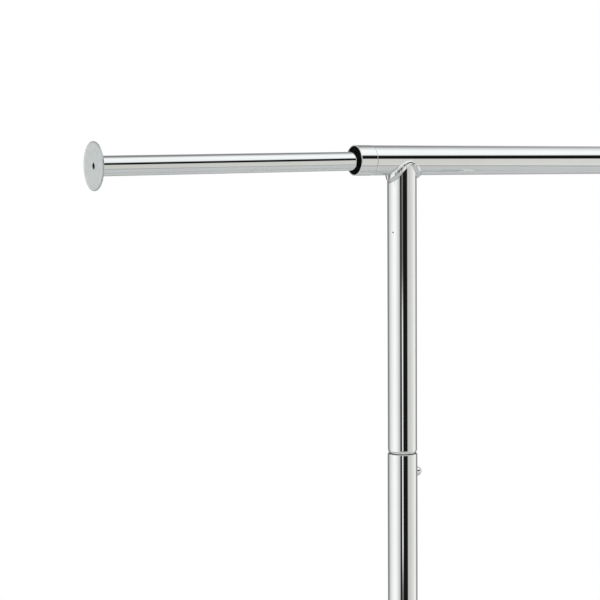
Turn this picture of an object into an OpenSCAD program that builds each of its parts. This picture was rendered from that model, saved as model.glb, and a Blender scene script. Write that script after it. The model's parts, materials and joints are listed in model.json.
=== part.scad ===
// Rolling clothes rack: a chrome tube frame that comes apart for shipping, with a hang bar
// lengthened at each end by a rod that pulls out, push-button joints in the uprights and
// four swivel casters. X runs along the bar, Y is the depth, Z is up, and the origin is on
// the floor under the middle of the bar.

/* [Overall] */
// Distance between the two uprights, centre to centre
upright_gap = 1200; // [900:10:1500]
// Height of the hang bar's centre above the floor
bar_height = 1640; // [1300:10:1970]
// Length of each foot tube, without its end caps
foot_length = 560; // [460:10:680]

/* [Hang bar] */
// Outer diameter of the hang bar
bar_od = 32; // [26:0.2:38.4]
// Wall of the hang bar
bar_wall = 0.9; // [0.7:0.1:1.4]
// Length of the bar past each upright's centre, up to the ferrule's mouth
bar_overhang = 60.7; // [55:0.1:90]
// Length of the ferrule at each end of the bar
ferrule_length = 20; // [12:1:24]
// How far the ferrule stands proud of the bar
ferrule_step = 0.2; // [0.1:0.05:1]

/* [Extension rods] */
// Outer diameter of the extension rod
rod_od = 20; // [16:0.2:24]
// Wall of the extension rod
rod_wall = 1; // [0.8:0.1:2]
// Reach of the pulled-out rod, from the ferrule's mouth to the disc's outer face
rod_reach = 296.5; // [200:0.5:356]
// How far the rod sits below the bar's centre at the ferrule's mouth
rod_drop = 0.85; // [0:0.05:1.5]
// Length of the plastic bushing in the bar's end
bushing_length = 30; // [24:1:40]
// How far the bushing's face sits inside the ferrule
bushing_recess = 0.4; // [0.2:0.1:2]
// Radial play of the rod in its bushing
rod_play = 0.25; // [0.1:0.05:0.4]
// Length of the stop ring on the rod's inner end
stop_length = 6; // [4:0.5:12]
// How far the stop ring stands proud of the rod
stop_lip = 0.7; // [0.6:0.05:0.9]
// Diameter of the end disc
disc_d = 48; // [36:1:60]
// Thickness of the end disc
disc_t = 1.6; // [1:0.1:4]
// Radius of the rounding on the end disc's edges
disc_edge = 0.5; // [0.2:0.1:0.5]
// Diameter of the vent hole in the end disc
disc_vent_d = 6.4; // [3:0.1:10]
// Chamfer on the edges of that vent hole
disc_vent_edge = 0.25; // [0.1:0.05:0.4]

/* [Uprights] */
// Outer diameter of the upper upright and of the base post
upper_od = 31.8; // [30:0.1:38]
// Wall of the upper upright and of the base post
upper_wall = 1.2; // [1:0.1:1.6]
// Length of the upper upright, from the bar's centre to its joint
upper_length = 317.6; // [200:0.1:500]
// How much larger the lower upright's outer diameter is than the upper one's
lower_step = 0.8; // [0:0.1:3]
// Wall of the lower upright
lower_wall = 1.5; // [1:0.1:1.8]
// Radius of the rolled shoulder above each spigot
shoulder_r = 3; // [2:0.1:5]
// Length of the spigot below its shoulder
spigot_length = 50; // [44:1:70]
// Radial play of a spigot in the lower upright
spigot_play = 0.3; // [0.1:0.05:0.5]
// Diameter of the vent hole near the top of the upper upright
vent_d = 1.8; // [1:0.1:4]
// Distance of that vent hole below the bar's centre
vent_drop = 77; // [50:1:120]
// Turn of that vent hole from the rack's outer side towards its front
vent_turn = 19; // [0:1:90]

/* [Push buttons] */
// Diameter of the push button
button_d = 10.4; // [8:0.2:12]
// Straight part of the button that stands out of the lower upright
button_neck = 2.5; // [0.5:0.1:4]
// Distance of the button from the joint's seam
button_offset = 21.9; // [16:0.1:28]
// Radial play of the button in its holes
button_play = 0.3; // [0.1:0.05:0.6]
// Radius of the button's inner flange past its neck
button_flange = 1.6; // [1:0.1:2]
// Thickness of the button's inner flange
button_flange_t = 1; // [0.8:0.1:2]
// Thickness of the spring strip
spring_t = 0.8; // [0.5:0.1:1]
// Width of the spring strip
spring_w = 9; // [6:0.5:12]
// Length of the spring's legs, from the button to the bend
spring_leg = 30; // [24:1:34]

/* [Base] */
// Outer diameter of the foot tubes
foot_od = 32; // [30:0.2:38]
// Wall of the foot tubes
foot_wall = 1.2; // [1:0.1:2]
// Height of the base post, from the foot tube's centre to its joint
post_length = 62; // [56:1:90]
// Thickness of the plastic end caps
cap_t = 3; // [2:0.5:6]
// Length of the plug on each end cap
cap_plug = 14; // [8:1:20]
// Outer diameter of the base rails
rail_od = 25; // [20:0.5:29]
// Wall of the base rails
rail_wall = 1.2; // [1:0.1:2]
// Distance between the two base rails, centre to centre
rail_gap = 300; // [160:10:320]
// Length of the threaded insert in each rail end
insert_length = 24; // [16:1:40]
// Diameter of the rail bolts
bolt_d = 6; // [5:0.5:8]
// Width of a weld bead on the main tube
weld_w = 3; // [2:0.1:4]
// Height of a weld bead on the post
weld_h = 6; // [4.5:0.1:8]

/* [Casters] */
// Diameter of the caster wheels
wheel_d = 64; // [50:1:70]
// Width of the caster wheels
wheel_w = 22; // [18:1:26]
// Distance between front and rear casters, centre to centre
caster_gap = 430; // [380:5:440]
// Distance of the wheel's centre behind the swivel's centre
caster_trail = 18; // [12:1:22]
// Height of the foot tube's underside above the top of the wheel
caster_room = 21; // [20:0.5:30]
// Diameter of the wheel axle
axle_d = 8; // [6:0.5:10]
// Diameter of the caster stem
stem_d = 10; // [8:0.5:12]
// Radial running clearance of wheel bores, swivels and brake pins
running_play = 0.05; // [0.02:0.01:0.1]
// Thickness of the fork's sheet
fork_t = 2; // [1.5:0.1:3]
// Turn of the brake pedal when it is pressed
brake_turn = 14; // [8:1:16]

/* [Hidden] */
$fn = 64;
bore_cut = 1;             // how far a cut runs past the face it opens
joint_gap = 0.3;          // room between faces of two pieces that move past each other
bar_r = bar_od / 2;
bore_r = bar_r - bar_wall;
rod_r = rod_od / 2;
stop_r = rod_r + stop_lip;
upright_x = upright_gap / 2;
bar_end_x = upright_x + bar_overhang;
weld_start = 3;           // where a weld bead begins, down the post from the main tube's centre

// The rod's inner end is held by the stop ring behind the bushing. The play of the two in
// the bar lets the rod droop, and the droop leaves room for the ring when the rod is in.
rod_insert = bushing_length + joint_gap + stop_length;
rod_travel = rod_reach - disc_t - joint_gap - ferrule_step;
droop = atan((bore_r - stop_r - joint_gap + rod_drop) / (rod_insert + rod_travel));

upper_r = upper_od / 2;
lower_r = (upper_od + lower_step) / 2;
lower_bore_r = lower_r - lower_wall;
spigot_r = lower_bore_r - spigot_play;
spigot_bore_r = spigot_r - upper_wall;
upper_seam_z = bar_height - upper_length;

button_r = button_d / 2;
button_hole_r = button_r + button_play;
flange_r = button_r + button_flange;
flange_x = sqrt(pow(spigot_bore_r, 2) - pow(flange_r, 2)) - spring_t / 4;
spring_x = flange_x - button_flange_t;
spring_bend_r = 3 * spring_t;

foot_r = foot_od / 2;
foot_z = wheel_d + caster_room + foot_r;
lower_seam_z = foot_z + post_length;
rail_r = rail_od / 2;
rail_y = rail_gap / 2;
bolt_r = bolt_d / 2;
bolt_head_r = bolt_d * 0.85;
bolt_head_t = bolt_d * 0.6;

wheel_r = wheel_d / 2;
hub_r = wheel_r * 0.68;     // the tyre fills the rest of the wheel's radius
hub_boss_r = axle_d;
hub_boss_w = wheel_w + 3;
hub_web_w = wheel_w * 0.35;
caster_y = caster_gap / 2;
stem_r = stem_d / 2;
journal_r = stem_r - 1;
axle_r = axle_d / 2;
axle_head_t = 3;          // thickness of the axle's heads, and how far they stand out
axle_head_r = axle_r + axle_head_t;
fork_inner = hub_boss_w / 2 + joint_gap;
fork_outer = fork_inner + fork_t;
fork_eye_r = axle_r + 5;   // a rim of 5 around the axle
crown_r = 17;
race_h = 9;               // height of the ball race under the foot tube
crown_top = foot_z - foot_r - race_h - joint_gap;
crown_bottom = crown_top - fork_t;
race_r = 15;
race_bottom = crown_top + joint_gap;
rivet_r = journal_r + 2.5;
rivet_t = 2;
nut_across = 17;
nut_h = 7;
nut_z = foot_z - sqrt(pow(foot_r - foot_wall, 2) - pow(nut_across / 2, 2)) + 0.1;
stem_top = nut_z + nut_h; // the nut rests on the inside of the foot tube
brake_pin_r = 2.5;
brake_barrel_r = 4;
brake_gap = 1;            // room between the pedal's barrel and the tyre
brake_nose_r = 2;
brake_rise = 12;          // how far the pedal points up at rest
brake_x = caster_trail + wheel_r * 0.5;
brake_z = wheel_r + sqrt(pow(wheel_r + brake_barrel_r + brake_gap, 2) - pow(brake_x - caster_trail, 2));
brake_reach = 30;
brake_t = 3;
brake_ear_r = 6;

// ---- places ----

module left() { children(); }
module right() { mirror([1, 0, 0]) children(); }

// Local +Z runs outwards along the left rod, from the ferrule's mouth.
module along_left_rod() {
    translate([-bar_end_x, 0, bar_height - rod_drop]) rotate([0, -90 - droop, 0]) children();
}

// Local +Z runs from the ferrule's mouth into the bar.
module into_left_bar() {
    translate([-bar_end_x, 0, bar_height]) rotate([0, 90, 0]) children();
}

// Local +Z runs down from the seam, along the spigot, in a top joint.
module at_upper_seam() {
    translate([-upright_x, 0, upper_seam_z]) mirror([0, 0, 1]) children();
}

// Local +Z runs up from the seam, along the spigot, in a bottom joint.
module at_lower_seam() {
    translate([-upright_x, 0, lower_seam_z]) children();
}

// side: -1 left, 1 right; end: -1 front, 1 rear
module at_caster(side, end) {
    translate([side * upright_x, end * caster_y, 0]) children();
}

module along_y() { rotate([-90, 0, 0]) children(); }
module along_x() { rotate([0, 90, 0]) children(); }

// ---- shapes ----

module tube(outer_r, inner_r, length) {
    difference() {
        cylinder(r = outer_r, h = length);
        translate([0, 0, -bore_cut]) cylinder(r = inner_r, h = length + 2 * bore_cut);
    }
}

// A tube of the given length with a rolled shoulder and a spigot at its end. Local Z is 0
// at the seam, the spigot runs to +Z and the full tube to -Z.
module swaged_tube(length) {
    rotate_extrude() polygon(concat(
        [[upper_r, -length], [upper_r, -shoulder_r]],
        [for (a = [15 : 15 : 90])
            [spigot_r + (upper_r - spigot_r) * cos(a), -shoulder_r + shoulder_r * sin(a)]],
        [[spigot_r, spigot_length], [spigot_bore_r, spigot_length]],
        [for (a = [90 : -15 : 15])
            [spigot_bore_r + (upper_r - spigot_r) * cos(a), -shoulder_r + shoulder_r * sin(a)]],
        [[upper_r - upper_wall, -shoulder_r], [upper_r - upper_wall, -length]]
    ));
}

module button_hole() {
    translate([0, 0, button_offset]) along_x() cylinder(r = button_hole_r, h = lower_r + bore_cut);
}

// Weld bead in the corner between a main tube along local X and a post along local +Z. It is
// where the two tubes, grown by the bead's size, overlap outside the tubes themselves.
module corner_bead(main_r) {
    difference() {
        intersection() {
            translate([0, 0, weld_start]) cylinder(r = upper_r + weld_w, h = main_r + weld_h);
            along_x() cylinder(r = main_r + weld_h, h = 4 * main_r, center = true);
        }
        along_x() cylinder(r = main_r, h = 5 * main_r, center = true);
        cylinder(r = upper_r, h = 2 * (main_r + weld_h));
    }
}

// ---- hang bar ----

module hang_bar() {
    half = bar_end_x - ferrule_length;
    color("silver") translate([-half, 0, bar_height]) along_x() tube(bar_r, bore_r, 2 * half);
}

module ferrule() {
    color("silver") into_left_bar() tube(bar_r + ferrule_step, bore_r, ferrule_length);
}

module bushing() {
    color([0.05, 0.05, 0.055]) difference() {
        into_left_bar() translate([0, 0, bushing_recess])
            cylinder(r = bore_r, h = bushing_length - bushing_recess);
        along_left_rod() cylinder(r = rod_r + rod_play, h = 3 * bushing_length, center = true);
    }
}

module rod() {
    color("silver") along_left_rod() translate([0, 0, -rod_insert])
        tube(rod_r, rod_r - rod_wall, rod_insert + rod_reach - disc_t);
}

// The vent hole in the end disc, wider at both faces by its chamfer.
module disc_vent_cut() {
    vent_r = disc_vent_d / 2;
    mouth_r = vent_r + disc_vent_edge + bore_cut;
    rotate_extrude() polygon([[0, -bore_cut], [mouth_r, -bore_cut], [vent_r, disc_vent_edge],
        [vent_r, disc_t - disc_vent_edge], [mouth_r, disc_t + bore_cut], [0, disc_t + bore_cut]]);
}

module end_disc() {
    edge_r = disc_d / 2 - disc_edge;
    color([0.74, 0.76, 0.79]) along_left_rod() translate([0, 0, rod_reach - disc_t]) difference() {
        union() {
            cylinder(r = edge_r, h = disc_t);
            translate([0, 0, disc_edge]) cylinder(r = disc_d / 2, h = disc_t - 2 * disc_edge);
            for (z = [disc_edge, disc_t - disc_edge]) translate([0, 0, z])
                rotate_extrude() translate([edge_r, 0]) circle(r = disc_edge);
        }
        disc_vent_cut();
    }
}

module stop_ring() {
    color([0.1, 0.1, 0.1]) along_left_rod() translate([0, 0, -rod_insert]) tube(stop_r, rod_r, stop_length);
}

// ---- uprights ----

module upper_upright() {
    color("silver") difference() {
        at_upper_seam() difference() {
            swaged_tube(upper_length);
            button_hole();
        }
        translate([-upright_x, 0, bar_height]) along_x() cylinder(r = bar_r, h = 4 * bar_r, center = true);
        translate([-upright_x, 0, bar_height - vent_drop]) rotate([0, 0, 180 + vent_turn])
            along_x() cylinder(d = vent_d, h = 2 * upper_r);
    }
}

module bar_weld() {
    color([0.8, 0.8, 0.8]) translate([-upright_x, 0, bar_height]) mirror([0, 0, 1]) corner_bead(bar_r);
}

module lower_upright() {
    color("silver") difference() {
        translate([-upright_x, 0, lower_seam_z])
            tube(lower_r, lower_bore_r, upper_seam_z - lower_seam_z);
        at_upper_seam() button_hole();
        at_lower_seam() button_hole();
    }
}

// ---- push buttons ----

// Local +X is the way the button points, and local +Z runs along the spigot.
module button() {
    neck = lower_r + button_neck - spring_x;
    color("silver") translate([spring_x, 0, button_offset]) along_x() rotate_extrude() {
        square([flange_r, button_flange_t]);
        square([button_r, neck]);
        translate([0, neck]) intersection() {
            circle(r = button_r);
            square(button_r);
        }
    }
}

// A strip bent to a V. One leg stands under the button and the other against the far wall.
module spring() {
    far_x = -sqrt(pow(spigot_bore_r, 2) - pow(spring_w / 2, 2)) + joint_gap;
    bend_x = (spring_x + far_x) / 2;
    bend_z = button_offset - spring_leg;
    end_z = button_offset + flange_r;
    inner_r = spring_bend_r - spring_t;
    color([0.45, 0.47, 0.5]) rotate([90, 0, 0]) linear_extrude(spring_w, center = true)
        polygon(concat(
            [[spring_x, end_z], [spring_x, button_offset - flange_r]],
            [for (a = [0 : -15 : -180]) [bend_x + spring_bend_r * cos(a), bend_z + spring_bend_r * sin(a)]],
            [[far_x, button_offset], [far_x, end_z], [far_x + spring_t, end_z], [far_x + spring_t, button_offset]],
            [for (a = [-180 : 15 : 0]) [bend_x + inner_r * cos(a), bend_z + inner_r * sin(a)]],
            [[spring_x - spring_t, button_offset - flange_r], [spring_x - spring_t, end_z]]
        ));
}

// ---- base ----

module base_post() {
    color("silver") difference() {
        at_lower_seam() difference() {
            swaged_tube(post_length);
            button_hole();
        }
        translate([-upright_x, 0, foot_z]) along_y() cylinder(r = foot_r, h = 4 * foot_r, center = true);
    }
}

module base_weld() {
    color([0.8, 0.8, 0.8]) translate([-upright_x, 0, foot_z]) rotate([0, 0, 90]) corner_bead(foot_r);
}

module foot_tube() {
    color("silver") difference() {
        translate([-upright_x, -foot_length / 2, foot_z]) along_y()
            tube(foot_r, foot_r - foot_wall, foot_length);
        for (end = [-1, 1]) {
            at_caster(-1, end) cylinder(r = stem_r, h = foot_z);
            translate([-upright_x, end * rail_y, foot_z]) along_x()
                cylinder(r = bolt_r, h = 4 * foot_r, center = true);
        }
    }
}

module foot_caps() {
    color([0.05, 0.05, 0.055]) for (end = [0, 1]) translate([-upright_x, 0, foot_z])
        mirror([0, end, 0]) translate([0, -foot_length / 2, 0]) along_y() {
            translate([0, 0, -cap_t]) cylinder(r = foot_r, h = cap_t);
            cylinder(r = foot_r - foot_wall, h = cap_plug);
        }
}

module base_rail() {
    color("silver") difference() {
        translate([-upright_x, 0, foot_z]) along_x() tube(rail_r, rail_r - rail_wall, upright_gap);
        for (x = [-upright_x, upright_x]) translate([x, 0, foot_z])
            along_y() cylinder(r = foot_r, h = 4 * rail_r, center = true);
    }
}

module at_rail_ends() {
    for (side = [0, 1]) mirror([side, 0, 0])
        for (y = [-rail_y, rail_y]) translate([-upright_x, y, foot_z]) along_x() children();
}

module rail_inserts() {
    color([0.5, 0.5, 0.5]) at_rail_ends() translate([0, 0, foot_r])
        tube(rail_r - rail_wall, bolt_r, insert_length);
}

module rail_bolts() {
    color("silver") at_rail_ends() {
        translate([0, 0, -foot_r]) cylinder(r = bolt_r, h = 2 * foot_r + insert_length * 0.8);
        translate([0, 0, -foot_r - bolt_head_t]) cylinder(r = bolt_head_r, h = bolt_head_t);
    }
}

module caster_nuts() {
    color([0.5, 0.5, 0.5]) for (side = [-1, 1]) for (end = [-1, 1]) at_caster(side, end)
        translate([0, 0, nut_z]) difference() {
            rotate([0, 0, 30]) cylinder(d = nut_across / cos(30), h = nut_h, $fn = 6);
            translate([0, 0, -bore_cut]) cylinder(r = stem_r, h = nut_h + 2 * bore_cut);
        }
}

// ---- casters: local origin on the floor under the swivel, wheel trailing to +X ----

module stem() {
    color([0.7, 0.71, 0.73]) {
        translate([0, 0, race_bottom]) cylinder(r = race_r, h = foot_z - foot_r - race_bottom);
        translate([0, 0, foot_z - foot_r - bore_cut]) cylinder(r = stem_r, h = stem_top - foot_z + foot_r + bore_cut);
        translate([0, 0, crown_bottom - joint_gap - rivet_t / 2])
            cylinder(r = journal_r, h = race_bottom - crown_bottom + joint_gap + rivet_t);
        translate([0, 0, crown_bottom - joint_gap - rivet_t]) cylinder(r = rivet_r, h = rivet_t);
    }
}

// Side plate of the fork, in X and Z; ear is true where a brake pedal is carried.
module fork_plate(ear) {
    difference() {
        union() {
            translate([caster_trail, wheel_r]) circle(r = fork_eye_r);
            polygon([[-crown_r, crown_top], [crown_r, crown_top],
                [caster_trail + fork_eye_r, wheel_r], [caster_trail - fork_eye_r, wheel_r]]);
            if (ear) {
                translate([brake_x, brake_z]) circle(r = brake_ear_r);
                polygon([[crown_r, crown_top], [brake_x, brake_z + brake_ear_r],
                    [brake_x, brake_z - brake_ear_r], [caster_trail + fork_eye_r, wheel_r],
                    [0, wheel_r + fork_eye_r]]);
            }
        }
        translate([caster_trail, wheel_r]) circle(r = axle_r);
        if (ear) translate([brake_x, brake_z]) circle(r = brake_pin_r + running_play);
    }
}

module fork(ear) {
    color([0.75, 0.76, 0.78]) {
        difference() {
            translate([0, 0, crown_bottom]) cylinder(r = crown_r, h = fork_t);
            translate([0, 0, crown_bottom - bore_cut]) cylinder(r = journal_r + running_play, h = fork_t + 2 * bore_cut);
        }
        for (y = [-fork_outer, fork_inner]) translate([0, y + fork_t, 0])
            rotate([90, 0, 0]) linear_extrude(fork_t) fork_plate(ear);
    }
}

module axle() {
    half = fork_outer + axle_head_t;
    color([0.7, 0.71, 0.73]) translate([caster_trail, -half, wheel_r]) along_y() {
        cylinder(r = axle_r, h = 2 * half);
        cylinder(r = axle_head_r, h = axle_head_t);
        translate([0, 0, 2 * half - axle_head_t]) cylinder(r = axle_head_r, h = axle_head_t);
    }
}

module hub() {
    color([0.2, 0.2, 0.21]) translate([caster_trail, 0, wheel_r]) along_y() difference() {
        union() {
            cylinder(r = hub_boss_r, h = hub_boss_w, center = true);
            cylinder(r = hub_r, h = hub_web_w, center = true);
            difference() {
                cylinder(r = hub_r, h = wheel_w - 2, center = true);
                cylinder(r = hub_r - 3, h = wheel_w, center = true);
            }
        }
        cylinder(r = axle_r + running_play, h = 2 * hub_boss_w, center = true);
    }
}

module tyre() {
    edge = wheel_w * 0.15;
    color([0.3, 0.3, 0.31]) translate([caster_trail, 0, wheel_r]) along_y() rotate_extrude() {
        translate([hub_r, -wheel_w / 2]) square([wheel_r - edge - hub_r, wheel_w]);
        translate([hub_r, -wheel_w / 2 + edge]) square([wheel_r - hub_r, wheel_w - 2 * edge]);
        for (y = [-1, 1]) translate([wheel_r - edge, y * (wheel_w / 2 - edge)]) circle(r = edge);
    }
}

// The pedal turns on two stub pins in the fork's ears; pressed down, its nose meets the tyre.
module brake() {
    width = 2 * (fork_inner - joint_gap);
    wheel_angle = atan2(brake_z - wheel_r, brake_x - caster_trail);
    color([0.06, 0.06, 0.065]) translate([brake_x, 0, brake_z]) rotate([90, 0, 0]) {
        linear_extrude(width, center = true) {
            circle(r = brake_barrel_r);
            rotate(wheel_angle + 180 + brake_turn)
                translate([brake_barrel_r + brake_gap - joint_gap - brake_nose_r, 0]) circle(r = brake_nose_r);
            rotate(brake_rise) translate([0, -brake_t / 2]) square([brake_reach, brake_t]);
        }
        cylinder(r = brake_pin_r, h = 2 * fork_outer, center = true);
    }
}

hang_bar();
left() ferrule();  // left_ferrule
right() ferrule();  // right_ferrule
left() bushing();  // left_bushing
right() bushing();  // right_bushing
left() rod();  // left_rod
right() rod();  // right_rod
left() end_disc();  // left_end_disc
right() end_disc();  // right_end_disc
left() stop_ring();  // left_stop_ring
right() stop_ring();  // right_stop_ring
left() upper_upright();  // left_upper_upright
right() upper_upright();  // right_upper_upright
left() bar_weld();  // left_bar_weld
right() bar_weld();  // right_bar_weld
left() lower_upright();  // left_lower_upright
right() lower_upright();  // right_lower_upright
left() at_upper_seam() button();  // left_upper_button
right() at_upper_seam() button();  // right_upper_button
left() at_lower_seam() button();  // left_lower_button
right() at_lower_seam() button();  // right_lower_button
left() at_upper_seam() spring();  // left_upper_spring
right() at_upper_seam() spring();  // right_upper_spring
left() at_lower_seam() spring();  // left_lower_spring
right() at_lower_seam() spring();  // right_lower_spring
left() base_post();  // left_base_post
right() base_post();  // right_base_post
left() base_weld();  // left_base_weld
right() base_weld();  // right_base_weld
left() foot_tube();  // left_foot_tube
right() foot_tube();  // right_foot_tube
left() foot_caps();  // left_foot_caps
right() foot_caps();  // right_foot_caps
translate([0, -rail_y, 0]) base_rail();  // front_base_rail
translate([0, rail_y, 0]) base_rail();  // rear_base_rail
rail_inserts();
rail_bolts();
caster_nuts();
at_caster(-1, -1) stem();  // front_left_stem
at_caster(1, -1) stem();  // front_right_stem
at_caster(-1, 1) stem();  // rear_left_stem
at_caster(1, 1) stem();  // rear_right_stem
at_caster(-1, -1) fork(ear = true);  // front_left_fork
at_caster(1, -1) fork(ear = true);  // front_right_fork
at_caster(-1, 1) fork(ear = false);  // rear_left_fork
at_caster(1, 1) fork(ear = false);  // rear_right_fork
at_caster(-1, -1) axle();  // front_left_axle
at_caster(1, -1) axle();  // front_right_axle
at_caster(-1, 1) axle();  // rear_left_axle
at_caster(1, 1) axle();  // rear_right_axle
at_caster(-1, -1) hub();  // front_left_hub
at_caster(1, -1) hub();  // front_right_hub
at_caster(-1, 1) hub();  // rear_left_hub
at_caster(1, 1) hub();  // rear_right_hub
at_caster(-1, -1) tyre();  // front_left_tyre
at_caster(1, -1) tyre();  // front_right_tyre
at_caster(-1, 1) tyre();  // rear_left_tyre
at_caster(1, 1) tyre();  // rear_right_tyre
at_caster(-1, -1) brake();  // front_left_brake
at_caster(1, -1) brake();  // front_right_brake
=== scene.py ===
"""Finished pieces, finishes and stage of a rolling clothes rack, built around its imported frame."""

import json
import math

import bmesh
import bpy
from bpy.props import FloatProperty, FloatVectorProperty, IntProperty, PointerProperty
from mathutils import Matrix, Vector, noise


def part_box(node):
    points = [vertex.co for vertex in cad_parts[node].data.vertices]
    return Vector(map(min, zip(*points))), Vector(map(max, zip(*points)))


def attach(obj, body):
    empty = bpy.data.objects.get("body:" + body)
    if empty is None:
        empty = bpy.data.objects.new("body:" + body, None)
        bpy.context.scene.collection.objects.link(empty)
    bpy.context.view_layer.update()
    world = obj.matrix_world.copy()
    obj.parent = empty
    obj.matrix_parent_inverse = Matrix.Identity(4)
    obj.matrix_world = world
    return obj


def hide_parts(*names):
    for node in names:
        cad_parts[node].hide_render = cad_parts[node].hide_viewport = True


bl_info = {
    "name": "Rolling clothes rack",
    "version": (1, 0, 0),
    "blender": (4, 5, 0),
    "location": "3D View > Sidebar > Clothes rack",
    "description": "Builds the finished pieces of a rolling clothes rack and its stage",
    "category": "Object",
}

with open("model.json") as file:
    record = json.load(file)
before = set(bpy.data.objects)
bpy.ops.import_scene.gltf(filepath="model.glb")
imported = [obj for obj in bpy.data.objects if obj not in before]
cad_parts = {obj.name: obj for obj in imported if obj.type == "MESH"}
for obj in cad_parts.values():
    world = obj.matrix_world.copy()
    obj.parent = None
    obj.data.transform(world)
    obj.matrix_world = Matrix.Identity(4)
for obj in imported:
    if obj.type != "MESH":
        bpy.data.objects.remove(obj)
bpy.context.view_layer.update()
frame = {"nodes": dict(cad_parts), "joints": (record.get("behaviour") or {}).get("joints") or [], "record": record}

SIDES = {"left": -1, "right": 1}
CORNERS = {
    "front_left": (-1, -1),
    "front_right": (1, -1),
    "rear_left": (-1, 1),
    "rear_right": (1, 1),
}
MM = 0.001


# ---- places, read from the frame ----


def middle(node):
    low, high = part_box(node)
    return (low + high) / 2


def extent(node):
    low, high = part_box(node)
    return high - low


def joint(name):
    return next(j for j in frame["joints"] if j["name"] == name)


BAR_MID = middle("hang_bar")
BAR_RADIUS = extent("hang_bar").z / 2
BAR_HALF = extent("hang_bar").x / 2
FERRULE_RADIUS = extent("left_ferrule").z / 2
POST_X = middle("right_lower_upright").x
LOWER_RADIUS = extent("left_lower_upright").y / 2
UPPER_RADIUS = extent("left_upper_upright").y / 2
UPPER_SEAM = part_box("left_lower_upright")[1].z
LOWER_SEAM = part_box("left_lower_upright")[0].z
FOOT_MID = middle("left_foot_tube")
FOOT_RADIUS = extent("left_foot_tube").x / 2
FOOT_HALF = extent("left_foot_tube").y / 2
RAIL_RADIUS = extent("front_base_rail").z / 2
DISC_RADIUS = extent("left_end_disc").y / 2
ROD_RADIUS = extent("left_rod").y / 2
BUTTON_UPPER_Z = middle("left_upper_button").z
BUTTON_FLANGE = 1.6 * MM
BUTTON_RADIUS = extent("left_upper_button").z / 2 - BUTTON_FLANGE
BUTTON_LOWER_Z = middle("left_lower_button").z
WHEEL_RADIUS = extent("front_left_tyre").z / 2
WHEEL_WIDTH = extent("front_left_tyre").y


# ---- sizes and colours a user can change ----


class RackSizes(bpy.types.PropertyGroup):
    """Sizes of the finished pieces' details."""

    round_steps: IntProperty(
        name="Steps around a tube", description="Flats around each tube", default=144, min=96, max=360
    )
    tube_wall: FloatProperty(
        name="Tube wall", description="Wall of the uprights and posts", default=1.2 * MM, subtype="DISTANCE"
    )
    lower_wall: FloatProperty(
        name="Lower upright wall", description="Wall of the lower uprights",
        default=1.5 * MM, subtype="DISTANCE",
    )
    bar_wall: FloatProperty(
        name="Bar wall", description="Wall of the hang bar", default=0.9 * MM, subtype="DISTANCE"
    )
    tube_lip: FloatProperty(
        name="Tube lip", description="Rounding of cut tube ends", default=0.3 * MM, subtype="DISTANCE"
    )
    spigot_play: FloatProperty(
        name="Spigot play", description="Room around a spigot", default=0.3 * MM, subtype="DISTANCE"
    )
    spigot_length: FloatProperty(
        name="Spigot length", description="Length of a spigot below its seam",
        default=50 * MM, subtype="DISTANCE",
    )
    shoulder: FloatProperty(
        name="Shoulder", description="Height of the rolled shoulder", default=4.8 * MM, subtype="DISTANCE"
    )
    button_play: FloatProperty(
        name="Button play", description="Room around a button in its holes",
        default=0.3 * MM, subtype="DISTANCE",
    )
    vent_radius: FloatProperty(
        name="Upright vent", description="Radius of the upright's vent hole",
        default=0.9 * MM, subtype="DISTANCE",
    )
    vent_drop: FloatProperty(
        name="Vent drop", description="Vent hole below the bar's centre", default=77 * MM, subtype="DISTANCE"
    )
    vent_turn: FloatProperty(
        name="Vent turn", description="Vent hole's turn from the outer side to the front",
        default=math.radians(19), subtype="ANGLE",
    )
    weld_height: FloatProperty(
        name="Weld height", description="Height of a weld on its post", default=6.0 * MM, subtype="DISTANCE"
    )
    weld_width: FloatProperty(
        name="Weld width", description="Width of a weld on its main tube",
        default=3.6 * MM, subtype="DISTANCE",
    )
    weld_ripple: FloatProperty(
        name="Weld ripple", description="Height of the ripples in a weld",
        default=0.28 * MM, subtype="DISTANCE",
    )
    disc_vent: FloatProperty(
        name="Disc vent", description="Radius of the end disc's hole", default=3.2 * MM, subtype="DISTANCE"
    )
    disc_rim: FloatProperty(
        name="Disc rim", description="Width of the end disc's raised rim",
        default=1.1 * MM, subtype="DISTANCE",
    )
    disc_dish: FloatProperty(
        name="Disc dish", description="Depth of the end disc's face below its rim",
        default=0.2 * MM, subtype="DISTANCE",
    )
    hub_ribs: IntProperty(
        name="Hub ribs", description="Ribs on each side of a wheel", default=8, min=3, max=16
    )
    pedal_ribs: IntProperty(
        name="Pedal ribs", description="Grip ribs on a brake pedal", default=6, min=2, max=9
    )


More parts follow.
